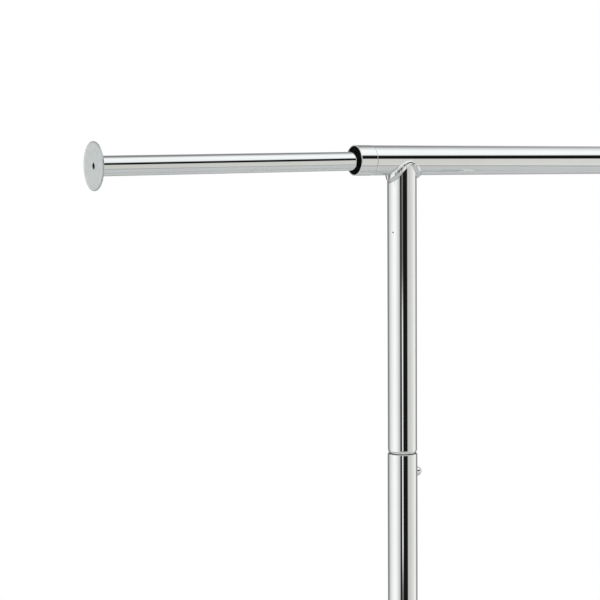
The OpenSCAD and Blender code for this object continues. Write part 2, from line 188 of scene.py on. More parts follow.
class RackColours(bpy.types.PropertyGroup):
    """Colours of the finishes."""

    chrome: FloatVectorProperty(
        name="Chrome", description="Bright chrome plate", default=(0.86, 0.88, 0.87), subtype="COLOR", size=3
    )
    disc: FloatVectorProperty(
        name="End disc", description="Satin plate of the end discs",
        default=(0.90, 0.93, 0.915), subtype="COLOR", size=3,
    )
    zinc: FloatVectorProperty(
        name="Zinc", description="Bright zinc plate of the caster metal", default=(0.66, 0.67, 0.69),
        subtype="COLOR", size=3,
    )
    spring: FloatVectorProperty(
        name="Spring", description="Blued spring strip", default=(0.30, 0.31, 0.34), subtype="COLOR", size=3
    )
    black: FloatVectorProperty(
        name="Black plastic", description="Bushings and end caps", default=(0.0035, 0.0035, 0.004),
        subtype="COLOR", size=3,
    )
    core: FloatVectorProperty(
        name="Wheel core", description="Moulded wheel core",
        default=(0.075, 0.076, 0.08), subtype="COLOR", size=3,
    )
    tyre: FloatVectorProperty(
        name="Tyre", description="Dark grey rubber", default=(0.035, 0.035, 0.037), subtype="COLOR", size=3
    )
    pedal: FloatVectorProperty(
        name="Pedal", description="Black pedal plastic",
        default=(0.018, 0.018, 0.019), subtype="COLOR", size=3,
    )
    floor: FloatVectorProperty(
        name="Floor", description="Pale floor", default=(0.88, 0.88, 0.88), subtype="COLOR", size=3
    )


def sizes():
    return bpy.context.scene.rack_sizes


def colours():
    return bpy.context.scene.rack_colours


# ---- finishes ----


FINISHED = "rack finish"
CLOUD_ROUGHNESS = 0.55
DISC_EDGE_TINT = (0.58, 0.61, 0.62)
# near-black painted shade for the groove at each spigot's seam
GROOVE_SHADE = (0.012, 0.012, 0.014)


def new_finish(name):
    """The material of that name, with nothing in it but a fresh shader and its output."""
    material = bpy.data.materials.get(name) or bpy.data.materials.new(name)
    material[FINISHED] = True
    material.use_nodes = True
    tree = material.node_tree
    tree.nodes.clear()
    shader = tree.nodes.new("ShaderNodeBsdfPrincipled")
    output = tree.nodes.new("ShaderNodeOutputMaterial")
    tree.links.new(shader.outputs["BSDF"], output.inputs["Surface"])
    return material, tree, shader


def add_node(tree, kind, **inputs):
    made = tree.nodes.new(kind)
    for name, value in inputs.items():
        made.inputs[name.replace("_", " ")].default_value = value
    return made


def place(tree, source, scale):
    """Coordinates of the piece, from its UV map or its object space, times a scale for each direction."""
    texture = tree.nodes.new("ShaderNodeTexCoord")
    mapping = add_node(tree, "ShaderNodeMapping", Scale=scale)
    tree.links.new(texture.outputs[source], mapping.inputs["Vector"])
    return mapping.outputs["Vector"]


def clouds(tree, at, scale, detail):
    made = add_node(tree, "ShaderNodeTexNoise", Scale=scale, Detail=detail, Roughness=CLOUD_ROUGHNESS)
    tree.links.new(at, made.inputs["Vector"])
    return made.outputs["Fac"]


def ramp(tree, value, stops):
    """Colours or greys at given places from 0 to 1."""
    made = tree.nodes.new("ShaderNodeValToRGB")
    line = made.color_ramp.elements
    while len(line) > 1:
        line.remove(line[-1])
    for i, (position, colour) in enumerate(stops):
        stop = line[0] if i == 0 else line.new(position)
        stop.position = position
        stop.color = (colour,) * 3 + (1,) if isinstance(colour, float) else tuple(colour) + (1,)
    tree.links.new(value, made.inputs["Fac"])
    return made.outputs["Color"]


def spread(tree, value, low, high):
    made = add_node(tree, "ShaderNodeMapRange", From_Min=0.3, From_Max=0.7, To_Min=low, To_Max=high)
    tree.links.new(value, made.inputs["Value"])
    return made.outputs["Result"]


def bump(tree, shader, height, distance, under=None):
    made = add_node(tree, "ShaderNodeBump", Strength=1.0, Distance=distance)
    tree.links.new(height, made.inputs["Height"])
    if under is not None:
        tree.links.new(under, made.inputs["Normal"])
    tree.links.new(made.outputs["Normal"], shader.inputs["Normal"])
    return made.outputs["Normal"]


def shade(colour, factor):
    return tuple(c * factor for c in colour)


def chrome_finish(name, colour, source="UV", waviness=0.000005):
    """Bright plate on drawn tube: faint draw lines, a slow waviness, patches of haze, a few specks, and painted
    shade darkening the groove at each spigot's seam.
    """
    material, tree, shader = new_finish(name)
    shader.inputs["Metallic"].default_value = 1.0
    lines = clouds(tree, place(tree, source, (900, 6, 900)), 1.0, 2.0)
    waves = clouds(tree, place(tree, source, (45, 14, 45)), 1.0, 1.0)
    haze = clouds(tree, place(tree, "Object", (1, 1, 1)), 21.0, 6.0)
    specks = clouds(tree, place(tree, "Object", (1, 1, 1)), 1500.0, 1.0)
    tone = ramp(tree, haze, [(0.35, shade(colour, 0.975)), (0.62, colour)])
    dots = ramp(tree, specks, [(0.12, 0.93), (0.16, 1.0)])
    speckled = tree.nodes.new("ShaderNodeMix")
    speckled.data_type = "RGBA"
    speckled.blend_type = "MULTIPLY"
    speckled.inputs["Factor"].default_value = 1.0
    tree.links.new(tone, speckled.inputs["A"])
    tree.links.new(dots, speckled.inputs["B"])
    # painted shade: where the "groove" attribute is 1 the colour goes nearly black, standing in for the shade in
    # the seam's groove
    groove_shade = mixed(tree, marked(tree, "groove"), speckled.outputs["Result"], GROOVE_SHADE)
    tree.links.new(groove_shade, shader.inputs["Base Color"])
    tree.links.new(spread(tree, haze, 0.018, 0.05), shader.inputs["Roughness"])
    first = bump(tree, shader, lines, 0.0000003)
    bump(tree, shader, waves, waviness, under=first)
    return material


def mark(piece, name, test):
    """Gives the piece a point attribute that is 1 where the test holds for a point, and 0 elsewhere."""
    values = piece.data.attributes.new(name, "FLOAT", "POINT")
    for point, value in zip(piece.data.vertices, values.data):
        value.value = 1.0 if test(point.co) else 0.0


def marked(tree, name):
    """The value of a point attribute."""
    node = tree.nodes.new("ShaderNodeAttribute")
    node.attribute_name = name
    return node.outputs["Fac"]


def mixed(tree, factor, low, high):
    """A colour between two, each given as a colour or as a socket."""
    node = tree.nodes.new("ShaderNodeMix")
    node.data_type = "RGBA"
    tree.links.new(factor, node.inputs["Factor"])
    for socket, value in ((node.inputs["A"], low), (node.inputs["B"], high)):
        if isinstance(value, bpy.types.NodeSocket):
            tree.links.new(value, socket)
        else:
            socket.default_value = (*value[:3], 1)
    return node.outputs["Result"]


def disc_finish(name, colour):
    """Satin plate with fine turned rings around the disc's middle and a soft mottle."""
    material, tree, shader = new_finish(name)
    shader.inputs["Metallic"].default_value = 0.72
    rings = clouds(tree, place(tree, "UV", (2, 5200, 1)), 1.0, 3.0)
    mottle = clouds(tree, place(tree, "Object", (1, 1, 1)), 160.0, 5.0)
    face = ramp(tree, mottle, [(0.3, shade(colour, 0.93)), (0.7, shade(colour, 1.04))])
    tone = mixed(tree, marked(tree, "edge"), face, DISC_EDGE_TINT)
    tree.links.new(tone, shader.inputs["Base Color"])
    satin = spread(tree, rings, 0.34, 0.44)
    bright = add_node(tree, "ShaderNodeMapRange", To_Min=1.0, To_Max=0.12)
    tree.links.new(marked(tree, "edge"), bright.inputs["Value"])
    product = tree.nodes.new("ShaderNodeMath")
    product.operation = "MULTIPLY"
    tree.links.new(satin, product.inputs[0])
    tree.links.new(bright.outputs["Result"], product.inputs[1])
    tree.links.new(product.outputs["Value"], shader.inputs["Roughness"])
    bump(tree, shader, rings, 0.000004)
    return material


def zinc_finish(name, colour, low, high):
    """Plated steel with a cloudy spangle and a fine tumbled grain."""
    material, tree, shader = new_finish(name)
    shader.inputs["Metallic"].default_value = 1.0
    spangle = clouds(tree, place(tree, "Object", (1, 1, 1)), 240.0, 4.0)
    grain = clouds(tree, place(tree, "Object", (1, 1, 1)), 2600.0, 3.0)
    tree.links.new(
        ramp(tree, spangle, [(0.3, shade(colour, 0.86)), (0.5, colour), (0.72, shade(colour, 1.07))]),
        shader.inputs["Base Color"],
    )
    tree.links.new(spread(tree, spangle, low, high), shader.inputs["Roughness"])
    bump(tree, shader, grain, 0.000012)
    return material


def moulding_finish(name, colour, low, high, grain_depth, grain=2400.0, specular=0.45):
    """Moulded plastic or rubber with a fine spark-eroded grain and slightly worn, paler patches."""
    material, tree, shader = new_finish(name)
    texture = clouds(tree, place(tree, "Object", (1, 1, 1)), grain, 3.0)
    wear = clouds(tree, place(tree, "Object", (1, 1, 1)), 85.0, 6.0)
    tree.links.new(
        ramp(tree, wear, [(0.35, colour), (0.75, shade(colour, 1.45))]), shader.inputs["Base Color"]
    )
    tree.links.new(spread(tree, wear, low, high), shader.inputs["Roughness"])
    shader.inputs["Specular IOR Level"].default_value = specular
    bump(tree, shader, texture, grain_depth)
    return material


def finish(slot):
    """The finish of one of the record's material slots, made once."""
    known = bpy.data.materials.get(slot)
    if known and known.get(FINISHED):
        return known
    tints = colours()
    if slot == "chrome_tube":
        return chrome_finish(slot, tuple(tints.chrome))
    if slot == "button_chrome":
        return chrome_finish(slot, shade(tints.chrome, 0.97), "Object", 0.000004)
    if slot == "weld_bead":
        return chrome_finish(slot, shade(tints.chrome, 0.95), "Object", 0.00004)
    if slot == "satin_disc":
        return disc_finish(slot, tuple(tints.disc))
    if slot == "zinc_steel":
        return zinc_finish(slot, tuple(tints.zinc), 0.18, 0.34)
    if slot == "spring_steel":
        return zinc_finish(slot, tuple(tints.spring), 0.25, 0.4)
    if slot == "black_plastic":
        return moulding_finish(slot, tuple(tints.black), 0.45, 0.6, 0.000015, specular=0.02)
    if slot == "wheel_core":
        return moulding_finish(slot, tuple(tints.core), 0.4, 0.6, 0.00003)
    if slot == "wheel_tread":
        return moulding_finish(slot, tuple(tints.tyre), 0.62, 0.85, 0.00006, 1300.0)
    if slot == "brake_pedal":
        return moulding_finish(slot, tuple(tints.pedal), 0.28, 0.42, 0.00002)
    raise ValueError(f"there is no finish for the slot {slot}")


# ---- mesh helpers ----

# edges sharper than CREASE degrees stay sharp, ones flatter than FLAT are dissolved before a bevel,
# and the bevel takes those sharper than BEVELLED
CREASE = 38
FLAT = math.radians(1)
BEVELLED = math.radians(40)
# the middle point of a small quarter round lies this share of its radius in from each side
MIDWAY = 0.3


def rounded(corners, steps=4):
    """Closed outline through the corners (x, y, radius), each rounded to its radius."""
    outline = []
    for i, (x, y, radius) in enumerate(corners):
        here = Vector((x, y))
        if radius <= 0:
            outline.append((x, y))
            continue
        back = (Vector(corners[i - 1][:2]) - here).normalized()
        on = (Vector(corners[(i + 1) % len(corners)][:2]) - here).normalized()
        half = back.angle(on) / 2
        centre = here + (back + on).normalized() * radius / math.sin(half)
        start = (here + back * radius / math.tan(half) - centre).normalized()
        end = (here + on * radius / math.tan(half) - centre).normalized()
        for k in range(steps + 1):
            point = centre + start.slerp(end, k / steps) * radius
            outline.append((point.x, point.y))
    return outline


def axes_along(direction):
    """Matrix whose local Z is the direction, and whose local X is as near to world +Z or +X as it can be."""
    z = Vector(direction).normalized()
    near = Vector((0, 0, 1)) if abs(z.z) < 0.9 else Vector((1, 0, 0))
    x = (near - z * near.dot(z)).normalized()
    y = z.cross(x)
    return Matrix((x, y, z)).transposed()


def circle(centre, turn, radius, height, steps):
    """Ring of points around the local Z of the turn matrix, or one point where the radius is nothing."""
    if radius < 1e-9:
        return [centre + turn @ Vector((0, 0, height))]
    return [
        centre + turn @ Vector((radius * math.cos(a), radius * math.sin(a), height))
        for a in (2 * math.pi * k / steps for k in range(steps))
    ]


class Skin:
    """Points, faces and UVs of a piece that is being made."""

    def __init__(self):
        self.points = []
        self.faces = []
        self.uvs = []

    def add_points(self, ring):
        first = len(self.points)
        self.points.extend(ring)
        return list(range(first, first + len(ring)))

    def add_face(self, corners, uvs=None):
        self.faces.append(corners)
        self.uvs.append(uvs or [(0.0, 0.0)] * len(corners))

    def bridge(self, first, second, v_first=0.0, v_second=0.0, around=1.0):
        """Faces between two closed rings of points, either of which may be a single point."""
        count = max(len(first), len(second))
        for k in range(count):
            u0 = around * k / count
            u1 = around * (k + 1) / count
            corners = []
            uvs = []
            for ring, index, u, v in (
                (first, k, u0, v_first),
                (first, k + 1, u1, v_first),
                (second, k + 1, u1, v_second),
                (second, k, u0, v_second),
            ):
                point = ring[index % len(ring)]
                if point not in corners:
                    corners.append(point)
                    uvs.append((u, v))
            self.add_face(corners, uvs)

    def loft(self, rings):
        """Closed skin through rings of points, with lengths in metres as UV."""
        ids = [self.add_points(ring) for ring in rings]
        reach = [0.0]
        for a, b in zip(rings, rings[1:] + rings[:1]):
            reach.append(reach[-1] + (b[0] - a[0]).length)
        around = max(sum((b - a).length for a, b in zip(ring, ring[1:] + ring[:1])) for ring in rings)
        for i in range(len(rings)):
            first = ids[i]
            second = ids[(i + 1) % len(rings)]
            if len(first) == 1 and len(second) == 1:
                continue
            self.bridge(first, second, reach[i], reach[i + 1], around)
        return self

    def turned(self, profile, centre, direction, steps):
        """Profile of (radius, height) turned around an axis through the centre."""
        turn = axes_along(direction)
        return self.loft([circle(Vector(centre), turn, r, h, steps) for r, h in profile])


def signed_volume(mesh):
    """Six times the volume, which is below nothing where the faces point inwards."""
    mesh.calc_loop_triangles()
    corners = [v.co for v in mesh.vertices]
    triangles = [t.vertices for t in mesh.loop_triangles]
    return sum(corners[a].cross(corners[b]).dot(corners[c]) for a, b, c in triangles)


def applied(obj):
    """The object's mesh with its modifiers made real, and the modifiers taken off."""
    depsgraph = bpy.context.evaluated_depsgraph_get()
    result = bpy.data.meshes.new_from_object(
        obj.evaluated_get(depsgraph), preserve_all_data_layers=True, depsgraph=depsgraph
    )
    obj.modifiers.clear()
    old = obj.data
    obj.data = result
    bpy.data.meshes.remove(old)
    obj.data.name = obj.name


def settle_normals(obj, crease):
    """Smooth shading up to creases, with the large faces staying true up to their rounded edges."""
    obj.data.shade_smooth()
    obj.data.set_sharp_from_angle(angle=math.radians(crease))
    weigh = obj.modifiers.new("Weighted normals", "WEIGHTED_NORMAL")
    weigh.keep_sharp = True
    applied(obj)


def true_round(obj, centre, direction, radii):
    """Normals exactly square to the axis on walls of the given radii, so that reflections run straight."""
    mesh = obj.data
    axis = Vector(direction).normalized()
    normals = [n.vector.copy() for n in mesh.corner_normals]
    for face in mesh.polygons:
        for corner in face.loop_indices:
            out = mesh.vertices[mesh.loops[corner].vertex_index].co - centre
            out -= axis * out.dot(axis)
            if not any(abs(out.length - r) < 2e-6 for r in radii):
                continue
            out.normalize()
            facing = face.normal.dot(out)
            if abs(facing) > 0.98:
                normals[corner] = out if facing > 0 else -out
    mesh.normals_split_custom_set(normals)


def link_mesh(name, mesh):
    obj = bpy.data.objects.new(name, mesh)
    bpy.context.scene.collection.objects.link(obj)
    return obj


def dress(obj, slot, body, nodes):
    """Gives a finished piece its finish and its body, and hides the frame's nodes that it stands for."""
    obj.data.materials.clear()
    obj.data.materials.append(finish(slot))
    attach(obj, body)
    if nodes:
        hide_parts(*nodes)
    return obj


def make_piece(name, skin, slot, body, nodes, crease=CREASE):
    mesh = bpy.data.meshes.new(name)
    mesh.from_pydata([tuple(p) for p in skin.points], [], skin.faces)
    layer = mesh.uv_layers.new(name="UVMap")
    for uv, value in zip(layer.uv, (pair for face in skin.uvs for pair in face)):
        uv.vector = value
    if signed_volume(mesh) < 0:
        mesh.flip_normals()
    mesh.validate()
    obj = link_mesh(name, mesh)
    settle_normals(obj, crease)
    return dress(obj, slot, body, nodes)


def tube_outline(outer, inner, start, end, lip):
    small = min(lip, (outer - inner) * 0.45)
    return rounded([(outer, start, small), (outer, end, small), (inner, end, small), (inner, start, small)])


def softened(node, slot, body, edge, name, segments=2):
    """A frame node's shape with its edges softened by a small bevel."""
    source = frame["nodes"][node].data
    work = bmesh.new()
    work.from_mesh(source)
    bmesh.ops.remove_doubles(work, verts=work.verts, dist=1e-6)
    bmesh.ops.dissolve_limit(work, angle_limit=FLAT, verts=work.verts, edges=work.edges)
    mesh = bpy.data.meshes.new(name)
    work.to_mesh(mesh)
    work.free()
    obj = link_mesh(name, mesh)
    bevel = obj.modifiers.new("Soft edges", "BEVEL")
    bevel.width = edge
    bevel.segments = segments
    bevel.limit_method = "ANGLE"
    bevel.angle_limit = BEVELLED
    bevel.use_clamp_overlap = True
    applied(obj)
    settle_normals(obj, CREASE)
    return dress(obj, slot, body, [node])


# ---- pierced and coped tubes ----


def hole_block(hole, radius, steps):
    """Columns and heights of the patch of wall that a hole is cut in."""
    angle, height, hole_r = hole
    arc = 2 * math.pi * radius / steps
    margin = hole_r * 1.3 + 2 * arc
    half_columns = math.ceil(margin / arc)
    first = round(angle / (2 * math.pi) * steps) - half_columns
    rows = 2 * max(3, round(margin / max(arc, 0.8 * MM)))
    heights = [height - margin + 2 * margin * j / rows for j in range(rows + 1)]
    return first, first + 2 * half_columns, heights


def pierced_wall(skin, rows, holes, blocks, steps, outward):
    """One wall of a tube as rows of points, with its holes open. Returns its end rings and the rims."""
    grid = []
    for row in rows:
        ring = []
        for k in range(steps):
            angle = 2 * math.pi * k / steps
            height = row[1](angle) if callable(row[1]) else row[1]
            ring.append(Vector((row[0] * math.cos(angle), row[0] * math.sin(angle), height)))
        grid.append(ring)
    ids = [skin.add_points(ring) for ring in grid]
    cut = set()
    edges = []
    for (angle, height, hole_r), (first, last, heights) in zip(holes, blocks):
        level = [r[1] for r in rows]
        low = level.index(heights[0])
        high = level.index(heights[-1])
        cut |= {(i, k % steps) for i in range(low, high) for k in range(first, last)}
        loop = [(low, k) for k in range(first, last)]
        loop += [(i, last) for i in range(low, high)]
        loop += [(high, k) for k in range(last, first, -1)]
        loop += [(i, first) for i in range(high, low, -1)]
        edges.append((angle, height, hole_r, rows[low][0], loop))
    for i in range(len(rows) - 1):
        reach = [r[1] if not callable(r[1]) else 0.0 for r in (rows[i], rows[i + 1])]
        for k in range(steps):
            if (i, k) in cut:
                continue
            n = (k + 1) % steps
            face = [ids[i][k], ids[i][n], ids[i + 1][n], ids[i + 1][k]]
            left = k * 2 * math.pi * rows[i][0] / steps
            right = (k + 1) * 2 * math.pi * rows[i][0] / steps
            uvs = [(left, reach[0]), (right, reach[0]), (right, reach[1]), (left, reach[1])]
            skin.add_face(face if outward else face[::-1], uvs if outward else uvs[::-1])
    rims = []
    # each rim runs from the patch's square edge in to the round hole, in a few blended rings
    for angle, height, hole_r, radius, loop in edges:
        outer = [ids[i][k % steps] for i, k in loop]
        flat = [(radius * (2 * math.pi * k / steps - angle), rows[i][1] - height) for i, k in loop]
        last_ring = outer
        for blend in (0.5, 0.12, 0.0):
            ring = []
            for across, up in flat:
                way = math.atan2(up, across)
                rim_across = radius * math.asin(hole_r * math.cos(way) / radius)
                rim_up = hole_r * math.sin(way)
                here = angle + (rim_across + (across - rim_across) * blend) / radius
                top = height + rim_up + (up - rim_up) * blend
                ring.append(Vector((radius * math.cos(here), radius * math.sin(here), top)))
            new = skin.add_points(ring)
            for k in range(len(new)):
                n = (k + 1) % len(new)
                face = [last_ring[k], last_ring[n], new[n], new[k]]
                skin.add_face(face if outward else face[::-1])
            last_ring = new
        rims.append(last_ring)
    return ids[0], ids[-1], rims


def with_hole_rows(rows, blocks):
    """Adds the rows of points that the holes' patches need."""
    added = sorted({h for _, _, heights in blocks for h in heights})
    result = []
    for a, b in zip(rows, rows[1:] + [None]):
        result.append(a)
        if b is None:
            break
        low = a[1] if not callable(a[1]) else None
        high = b[1] if not callable(b[1]) else math.inf
        if low is not None:
            result += [(a[0], h) for h in added if low < h < high and abs(a[0] - b[0]) < 1e-9]
    return result


def pierced_tube(outer_rows, inner_rows, holes, steps):
    """Tube around local Z with round holes, from rows of a radius and a height that may vary around it."""
    skin = Skin()
    radius = outer_rows[len(outer_rows) // 2][0]
    blocks = [hole_block(hole, radius, steps) for hole in holes]
    outer = pierced_wall(skin, with_hole_rows(outer_rows, blocks), holes, blocks, steps, True)
    inner = pierced_wall(skin, with_hole_rows(inner_rows, blocks), holes, blocks, steps, False)
    for k in range(steps):
        n = (k + 1) % steps
        skin.add_face([outer[0][k], inner[0][k], inner[0][n], outer[0][n]])
        skin.add_face([outer[1][k], outer[1][n], inner[1][n], inner[1][k]])
    for rim, back in zip(outer[2], inner[2]):
        for k in range(len(rim)):
            n = (k + 1) % len(rim)
            skin.add_face([rim[k], rim[n], back[n], back[k]])
    return skin


def lip_rows(radius, end, lip, direction, outside):
    """Rows that round a tube's cut end; direction is 1 where the wall runs upwards from the end."""
    rows = []
    sign = 1 if outside else -1
    for k in range(5):
        a = math.pi / 2 * k / 4
        rows.append((radius - sign * lip * (1 - math.sin(a)), end + direction * lip * (1 - math.cos(a))))
    return rows if direction > 0 else rows[::-1]


def moved(skin, matrix):
    skin.points = [matrix @ p for p in skin.points]
    return skin


# ---- welds ----

WELD_SWELL = 2.5 * MM
WELD_STEPS = 360
WELD_RIPPLES = 13
# how far a weld's hidden side is sunk into the tubes
WELD_SUNK = 0.25 * MM
WELD_ROOT = 0.3 * MM
WELD_ROWS = 12
WELD_CREASE = 60
# each kind of weld has its own lumps
BAR_WELD_SEED = 1.7
BASE_WELD_SEED = 4.3


def weld_skin(main_radius, seed):
    """Rippled weld in the corner between a main tube along local X and a post along local -Z."""
    s = sizes()
    skin = Skin()
    path = []
    for k in range(WELD_STEPS):
        turn = 2 * math.pi * k / WELD_STEPS
        main_angle = math.asin(UPPER_RADIUS * math.sin(turn) / main_radius)
        path.append((turn, UPPER_RADIUS * math.cos(turn), main_radius * main_angle))
    rings = []
    for k, (turn, along, across) in enumerate(path):
        before = path[k - 1]
        after = path[(k + 1) % WELD_STEPS]
        out = Vector((after[2] - before[2], before[1] - after[1])).normalized()
        lumps = noise.noise(Vector((math.cos(turn) * 2.2 + seed, math.sin(turn) * 2.2, seed * 0.7)))
        pulse = abs(math.sin(turn * WELD_RIPPLES + 2.0 * lumps))
        rise = s.weld_ripple * (pulse + 1.3 * lumps)
        # the bead is widest on the shoulders between the tubes' sides, and tallest where it leans outwards
        saddle = abs(math.cos(turn))
        shoulder = max(0.0, math.sin(2 * turn)) if math.sin(turn) > 0 else abs(math.sin(2 * turn))
        lean = max(0.0, -math.cos(turn))
        tall = s.weld_height * (1 + 0.3 * lumps) * (0.6 + 0.1 * saddle + 0.6 * lean)
        wide = s.weld_width * (0.5 + 0.85 * shoulder + 0.3 * shoulder * lean - 0.3 * lumps)
        foot_along = along + out.x * wide
        foot_angle = (across + out.y * wide) / main_radius
        foot = Vector((foot_along, main_radius * math.sin(foot_angle), -main_radius * math.cos(foot_angle)))
        side = Vector((math.cos(turn), math.sin(turn), 0))
        joint_z = -main_radius * math.cos(across / main_radius)
        root = side * UPPER_RADIUS + Vector((0, 0, joint_z))
        top = side * UPPER_RADIUS + Vector((0, 0, joint_z - tall))
        below = Vector((0, math.sin(foot_angle), -math.cos(foot_angle)))
        outwards = (side + below).normalized()
        swell = WELD_SWELL * (0.3 + 0.7 * shoulder) + rise
        ring = [top - side * WELD_SUNK]
        for j in range(WELD_ROWS + 1):
            part = j / WELD_ROWS
            ring.append(top.lerp(foot, part) + outwards * swell * math.sin(math.pi * part) ** 0.75)
        ring.append(foot - below * WELD_SUNK)
        ring.append(root - outwards * WELD_ROOT)
        rings.append(ring)
    ids = [skin.add_points(ring) for ring in rings]
    for k in range(WELD_STEPS):
        skin.bridge(ids[k], ids[(k + 1) % WELD_STEPS])
    return skin


# ---- what repeats ----


def repeat_group(material):
    """Copies of a mesh, each moved by one more step and turned by one more angle than the last."""
    group = bpy.data.node_groups.new("Repeated piece", "GeometryNodeTree")
    group.is_modifier = True
    face = group.interface
    face.new_socket("Piece", in_out="INPUT", socket_type="NodeSocketGeometry")
    face.new_socket("Count", in_out="INPUT", socket_type="NodeSocketInt")
    face.new_socket("Centre", in_out="INPUT", socket_type="NodeSocketVector")
    face.new_socket("Step", in_out="INPUT", socket_type="NodeSocketVector")
    face.new_socket("Axis", in_out="INPUT", socket_type="NodeSocketVector")
    face.new_socket("Turn", in_out="INPUT", socket_type="NodeSocketFloat")
    face.new_socket("Pieces", in_out="OUTPUT", socket_type="NodeSocketGeometry")
    start = group.nodes.new("NodeGroupInput")
    end = group.nodes.new("NodeGroupOutput")
    line = group.nodes.new("GeometryNodeMeshLine")
    index = group.nodes.new("GeometryNodeInputIndex")
    times = group.nodes.new("ShaderNodeMath")
    times.operation = "MULTIPLY"
    turn = group.nodes.new("FunctionNodeAxisAngleToRotation")
    copies = group.nodes.new("GeometryNodeInstanceOnPoints")
    real = group.nodes.new("GeometryNodeRealizeInstances")
    paint = group.nodes.new("GeometryNodeSetMaterial")
    paint.inputs["Material"].default_value = material
    link = group.links.new
    link(start.outputs["Count"], line.inputs["Count"])
    link(start.outputs["Centre"], line.inputs["Start Location"])
    link(start.outputs["Step"], line.inputs["Offset"])
    link(index.outputs["Index"], times.inputs[0])
    link(start.outputs["Turn"], times.inputs[1])
    link(start.outputs["Axis"], turn.inputs["Axis"])
    link(times.outputs["Value"], turn.inputs["Angle"])
    link(line.outputs["Mesh"], copies.inputs["Points"])
    link(start.outputs["Piece"], copies.inputs["Instance"])
    link(turn.outputs["Rotation"], copies.inputs["Rotation"])
    link(copies.outputs["Instances"], real.inputs["Geometry"])
    link(real.outputs["Geometry"], paint.inputs["Geometry"])
    link(paint.outputs["Geometry"], end.inputs["Pieces"])
    return group


def repeated(name, skin, slot, body, nodes, count, centre, step=(0, 0, 0), axis=(0, 0, 1), turn=0.0):
    """A skin around its own origin, copied along a line or around an axis, as one piece."""
    mesh = bpy.data.meshes.new(name)
    mesh.from_pydata([tuple(p) for p in skin.points], [], skin.faces)
    if signed_volume(mesh) < 0:
        mesh.flip_normals()
    obj = link_mesh(name, mesh)
    settle_normals(obj, CREASE)
    group = repeat_group(finish(slot))
    copies = obj.modifiers.new("Repeated piece", "NODES")
    copies.node_group = group
    values = {"Count": count, "Centre": tuple(centre), "Step": tuple(step), "Axis": tuple(axis), "Turn": turn}
    for socket in group.interface.items_tree:
        if socket.in_out == "INPUT" and socket.name in values:
            copies[socket.identifier] = values[socket.name]
    applied(obj)
    return dress(obj, slot, body, nodes)


def prism(outline, low, high, edge, turn):
    """Outline in local X and Y drawn out along local Z, with its two rims softened."""
    skin = Skin()
    count = len(outline)
    centre = Vector((sum(p[0] for p in outline) / count, sum(p[1] for p in outline) / count))
    rings = []
    for inset, height in (
        (edge, low), (edge * MIDWAY, low + edge * MIDWAY), (0, low + edge),
        (0, high - edge), (edge * MIDWAY, high - edge * MIDWAY), (edge, high),
    ):
        ring = []
        for x, y in outline:
            point = Vector((x, y))
            point -= (point - centre).normalized() * inset
            ring.append(turn @ Vector((point.x, point.y, height)))
        rings.append(ring)
    ids = [skin.add_points(ring) for ring in rings]
    for first, second in zip(ids, ids[1:]):
        skin.bridge(first, second)
    skin.add_face(ids[0][::-1])
    skin.add_face(ids[-1])
    return skin


# ---- operators ----


class RACK_OT_bar(bpy.types.Operator):
    """Builds the hang bar, its two ferrules and its two bushings."""

    bl_idname = "rack.bar"
    bl_label = "Hang bar"

    def execute(self, context):
        s = sizes()
        steps = s.round_steps
        bore = BAR_RADIUS - s.bar_wall
        bar = Skin().turned(
            tube_outline(BAR_RADIUS, bore, -BAR_HALF, BAR_HALF, 0.4 * MM), BAR_MID, (1, 0, 0), steps
        )
        piece = make_piece("HangBar", bar, "chrome_tube", "frame", ["hang_bar"])
        true_round(piece, BAR_MID, (1, 0, 0), [BAR_RADIUS, bore])
        for side, sign in SIDES.items():
            self.ferrule(side, sign, bore, steps)
            self.bushing(side, sign, bore, steps)
        return {"FINISHED"}

    def ferrule(self, side, sign, bore, steps):
        length = extent(f"{side}_ferrule").x
        start = Vector((sign * BAR_HALF, 0, BAR_MID.z))
        seam = 0.3 * MM
        outline = rounded([
            (FERRULE_RADIUS, seam, 0.42 * MM), (FERRULE_RADIUS, length, 0.45 * MM),
            (bore, length, 0.3 * MM), (bore, seam, 0.1 * MM),
        ])
        skin = Skin().turned(outline, start, (sign, 0, 0), steps)
        piece = make_piece(f"Ferrule.{side}", skin, "chrome_tube", "frame", [f"{side}_ferrule"])
        true_round(piece, start, (1, 0, 0), [FERRULE_RADIUS, bore])

    def bushing(self, side, sign, bore, steps):
        low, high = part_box(f"{side}_bushing")
        face = high.x if sign > 0 else low.x
        back = low.x if sign > 0 else high.x
        rod = Vector(joint(f"{side}_extension_slide")["axis"])
        disc = middle(f"{side}_end_disc")
        play = 0.25 * MM
        edge = 0.5 * MM
        inner = ROD_RADIUS + play

        def rod_centre(x):
            return disc + rod * ((x - disc.x) / rod.x)

        def ring(centre, radius, x):
            return [
                Vector((x, centre.y + radius * math.sin(a), centre.z + radius * math.cos(a)))
                for a in (2 * math.pi * k / steps for k in range(steps))
            ]

        inward = face - sign * edge
        skin = Skin().loft([
            ring(BAR_MID, bore, back),
            ring(BAR_MID, bore, inward),
            ring(BAR_MID, bore - edge * MIDWAY, face - sign * edge * MIDWAY),
            ring(BAR_MID, bore - edge, face),
            ring(rod_centre(face), inner + edge, face),
            ring(rod_centre(face), inner + edge * MIDWAY, face - sign * edge * MIDWAY),
            ring(rod_centre(inward), inner, inward),
            ring(rod_centre(back), inner, back),
        ])
        make_piece(f"Bushing.{side}", skin, "black_plastic", "frame", [f"{side}_bushing"])


DISC_HALF = 0.8 * MM
DISC_STEPS = 192
ROD_WALL = 1.0 * MM
# the polished edge that an end disc shows around its satin face
POLISHED_EDGE = 0.6 * MM
# a flat stretch longer than this gets rows of its own
FACE_ROW = 5 * MM
FACE_ROWS = 8


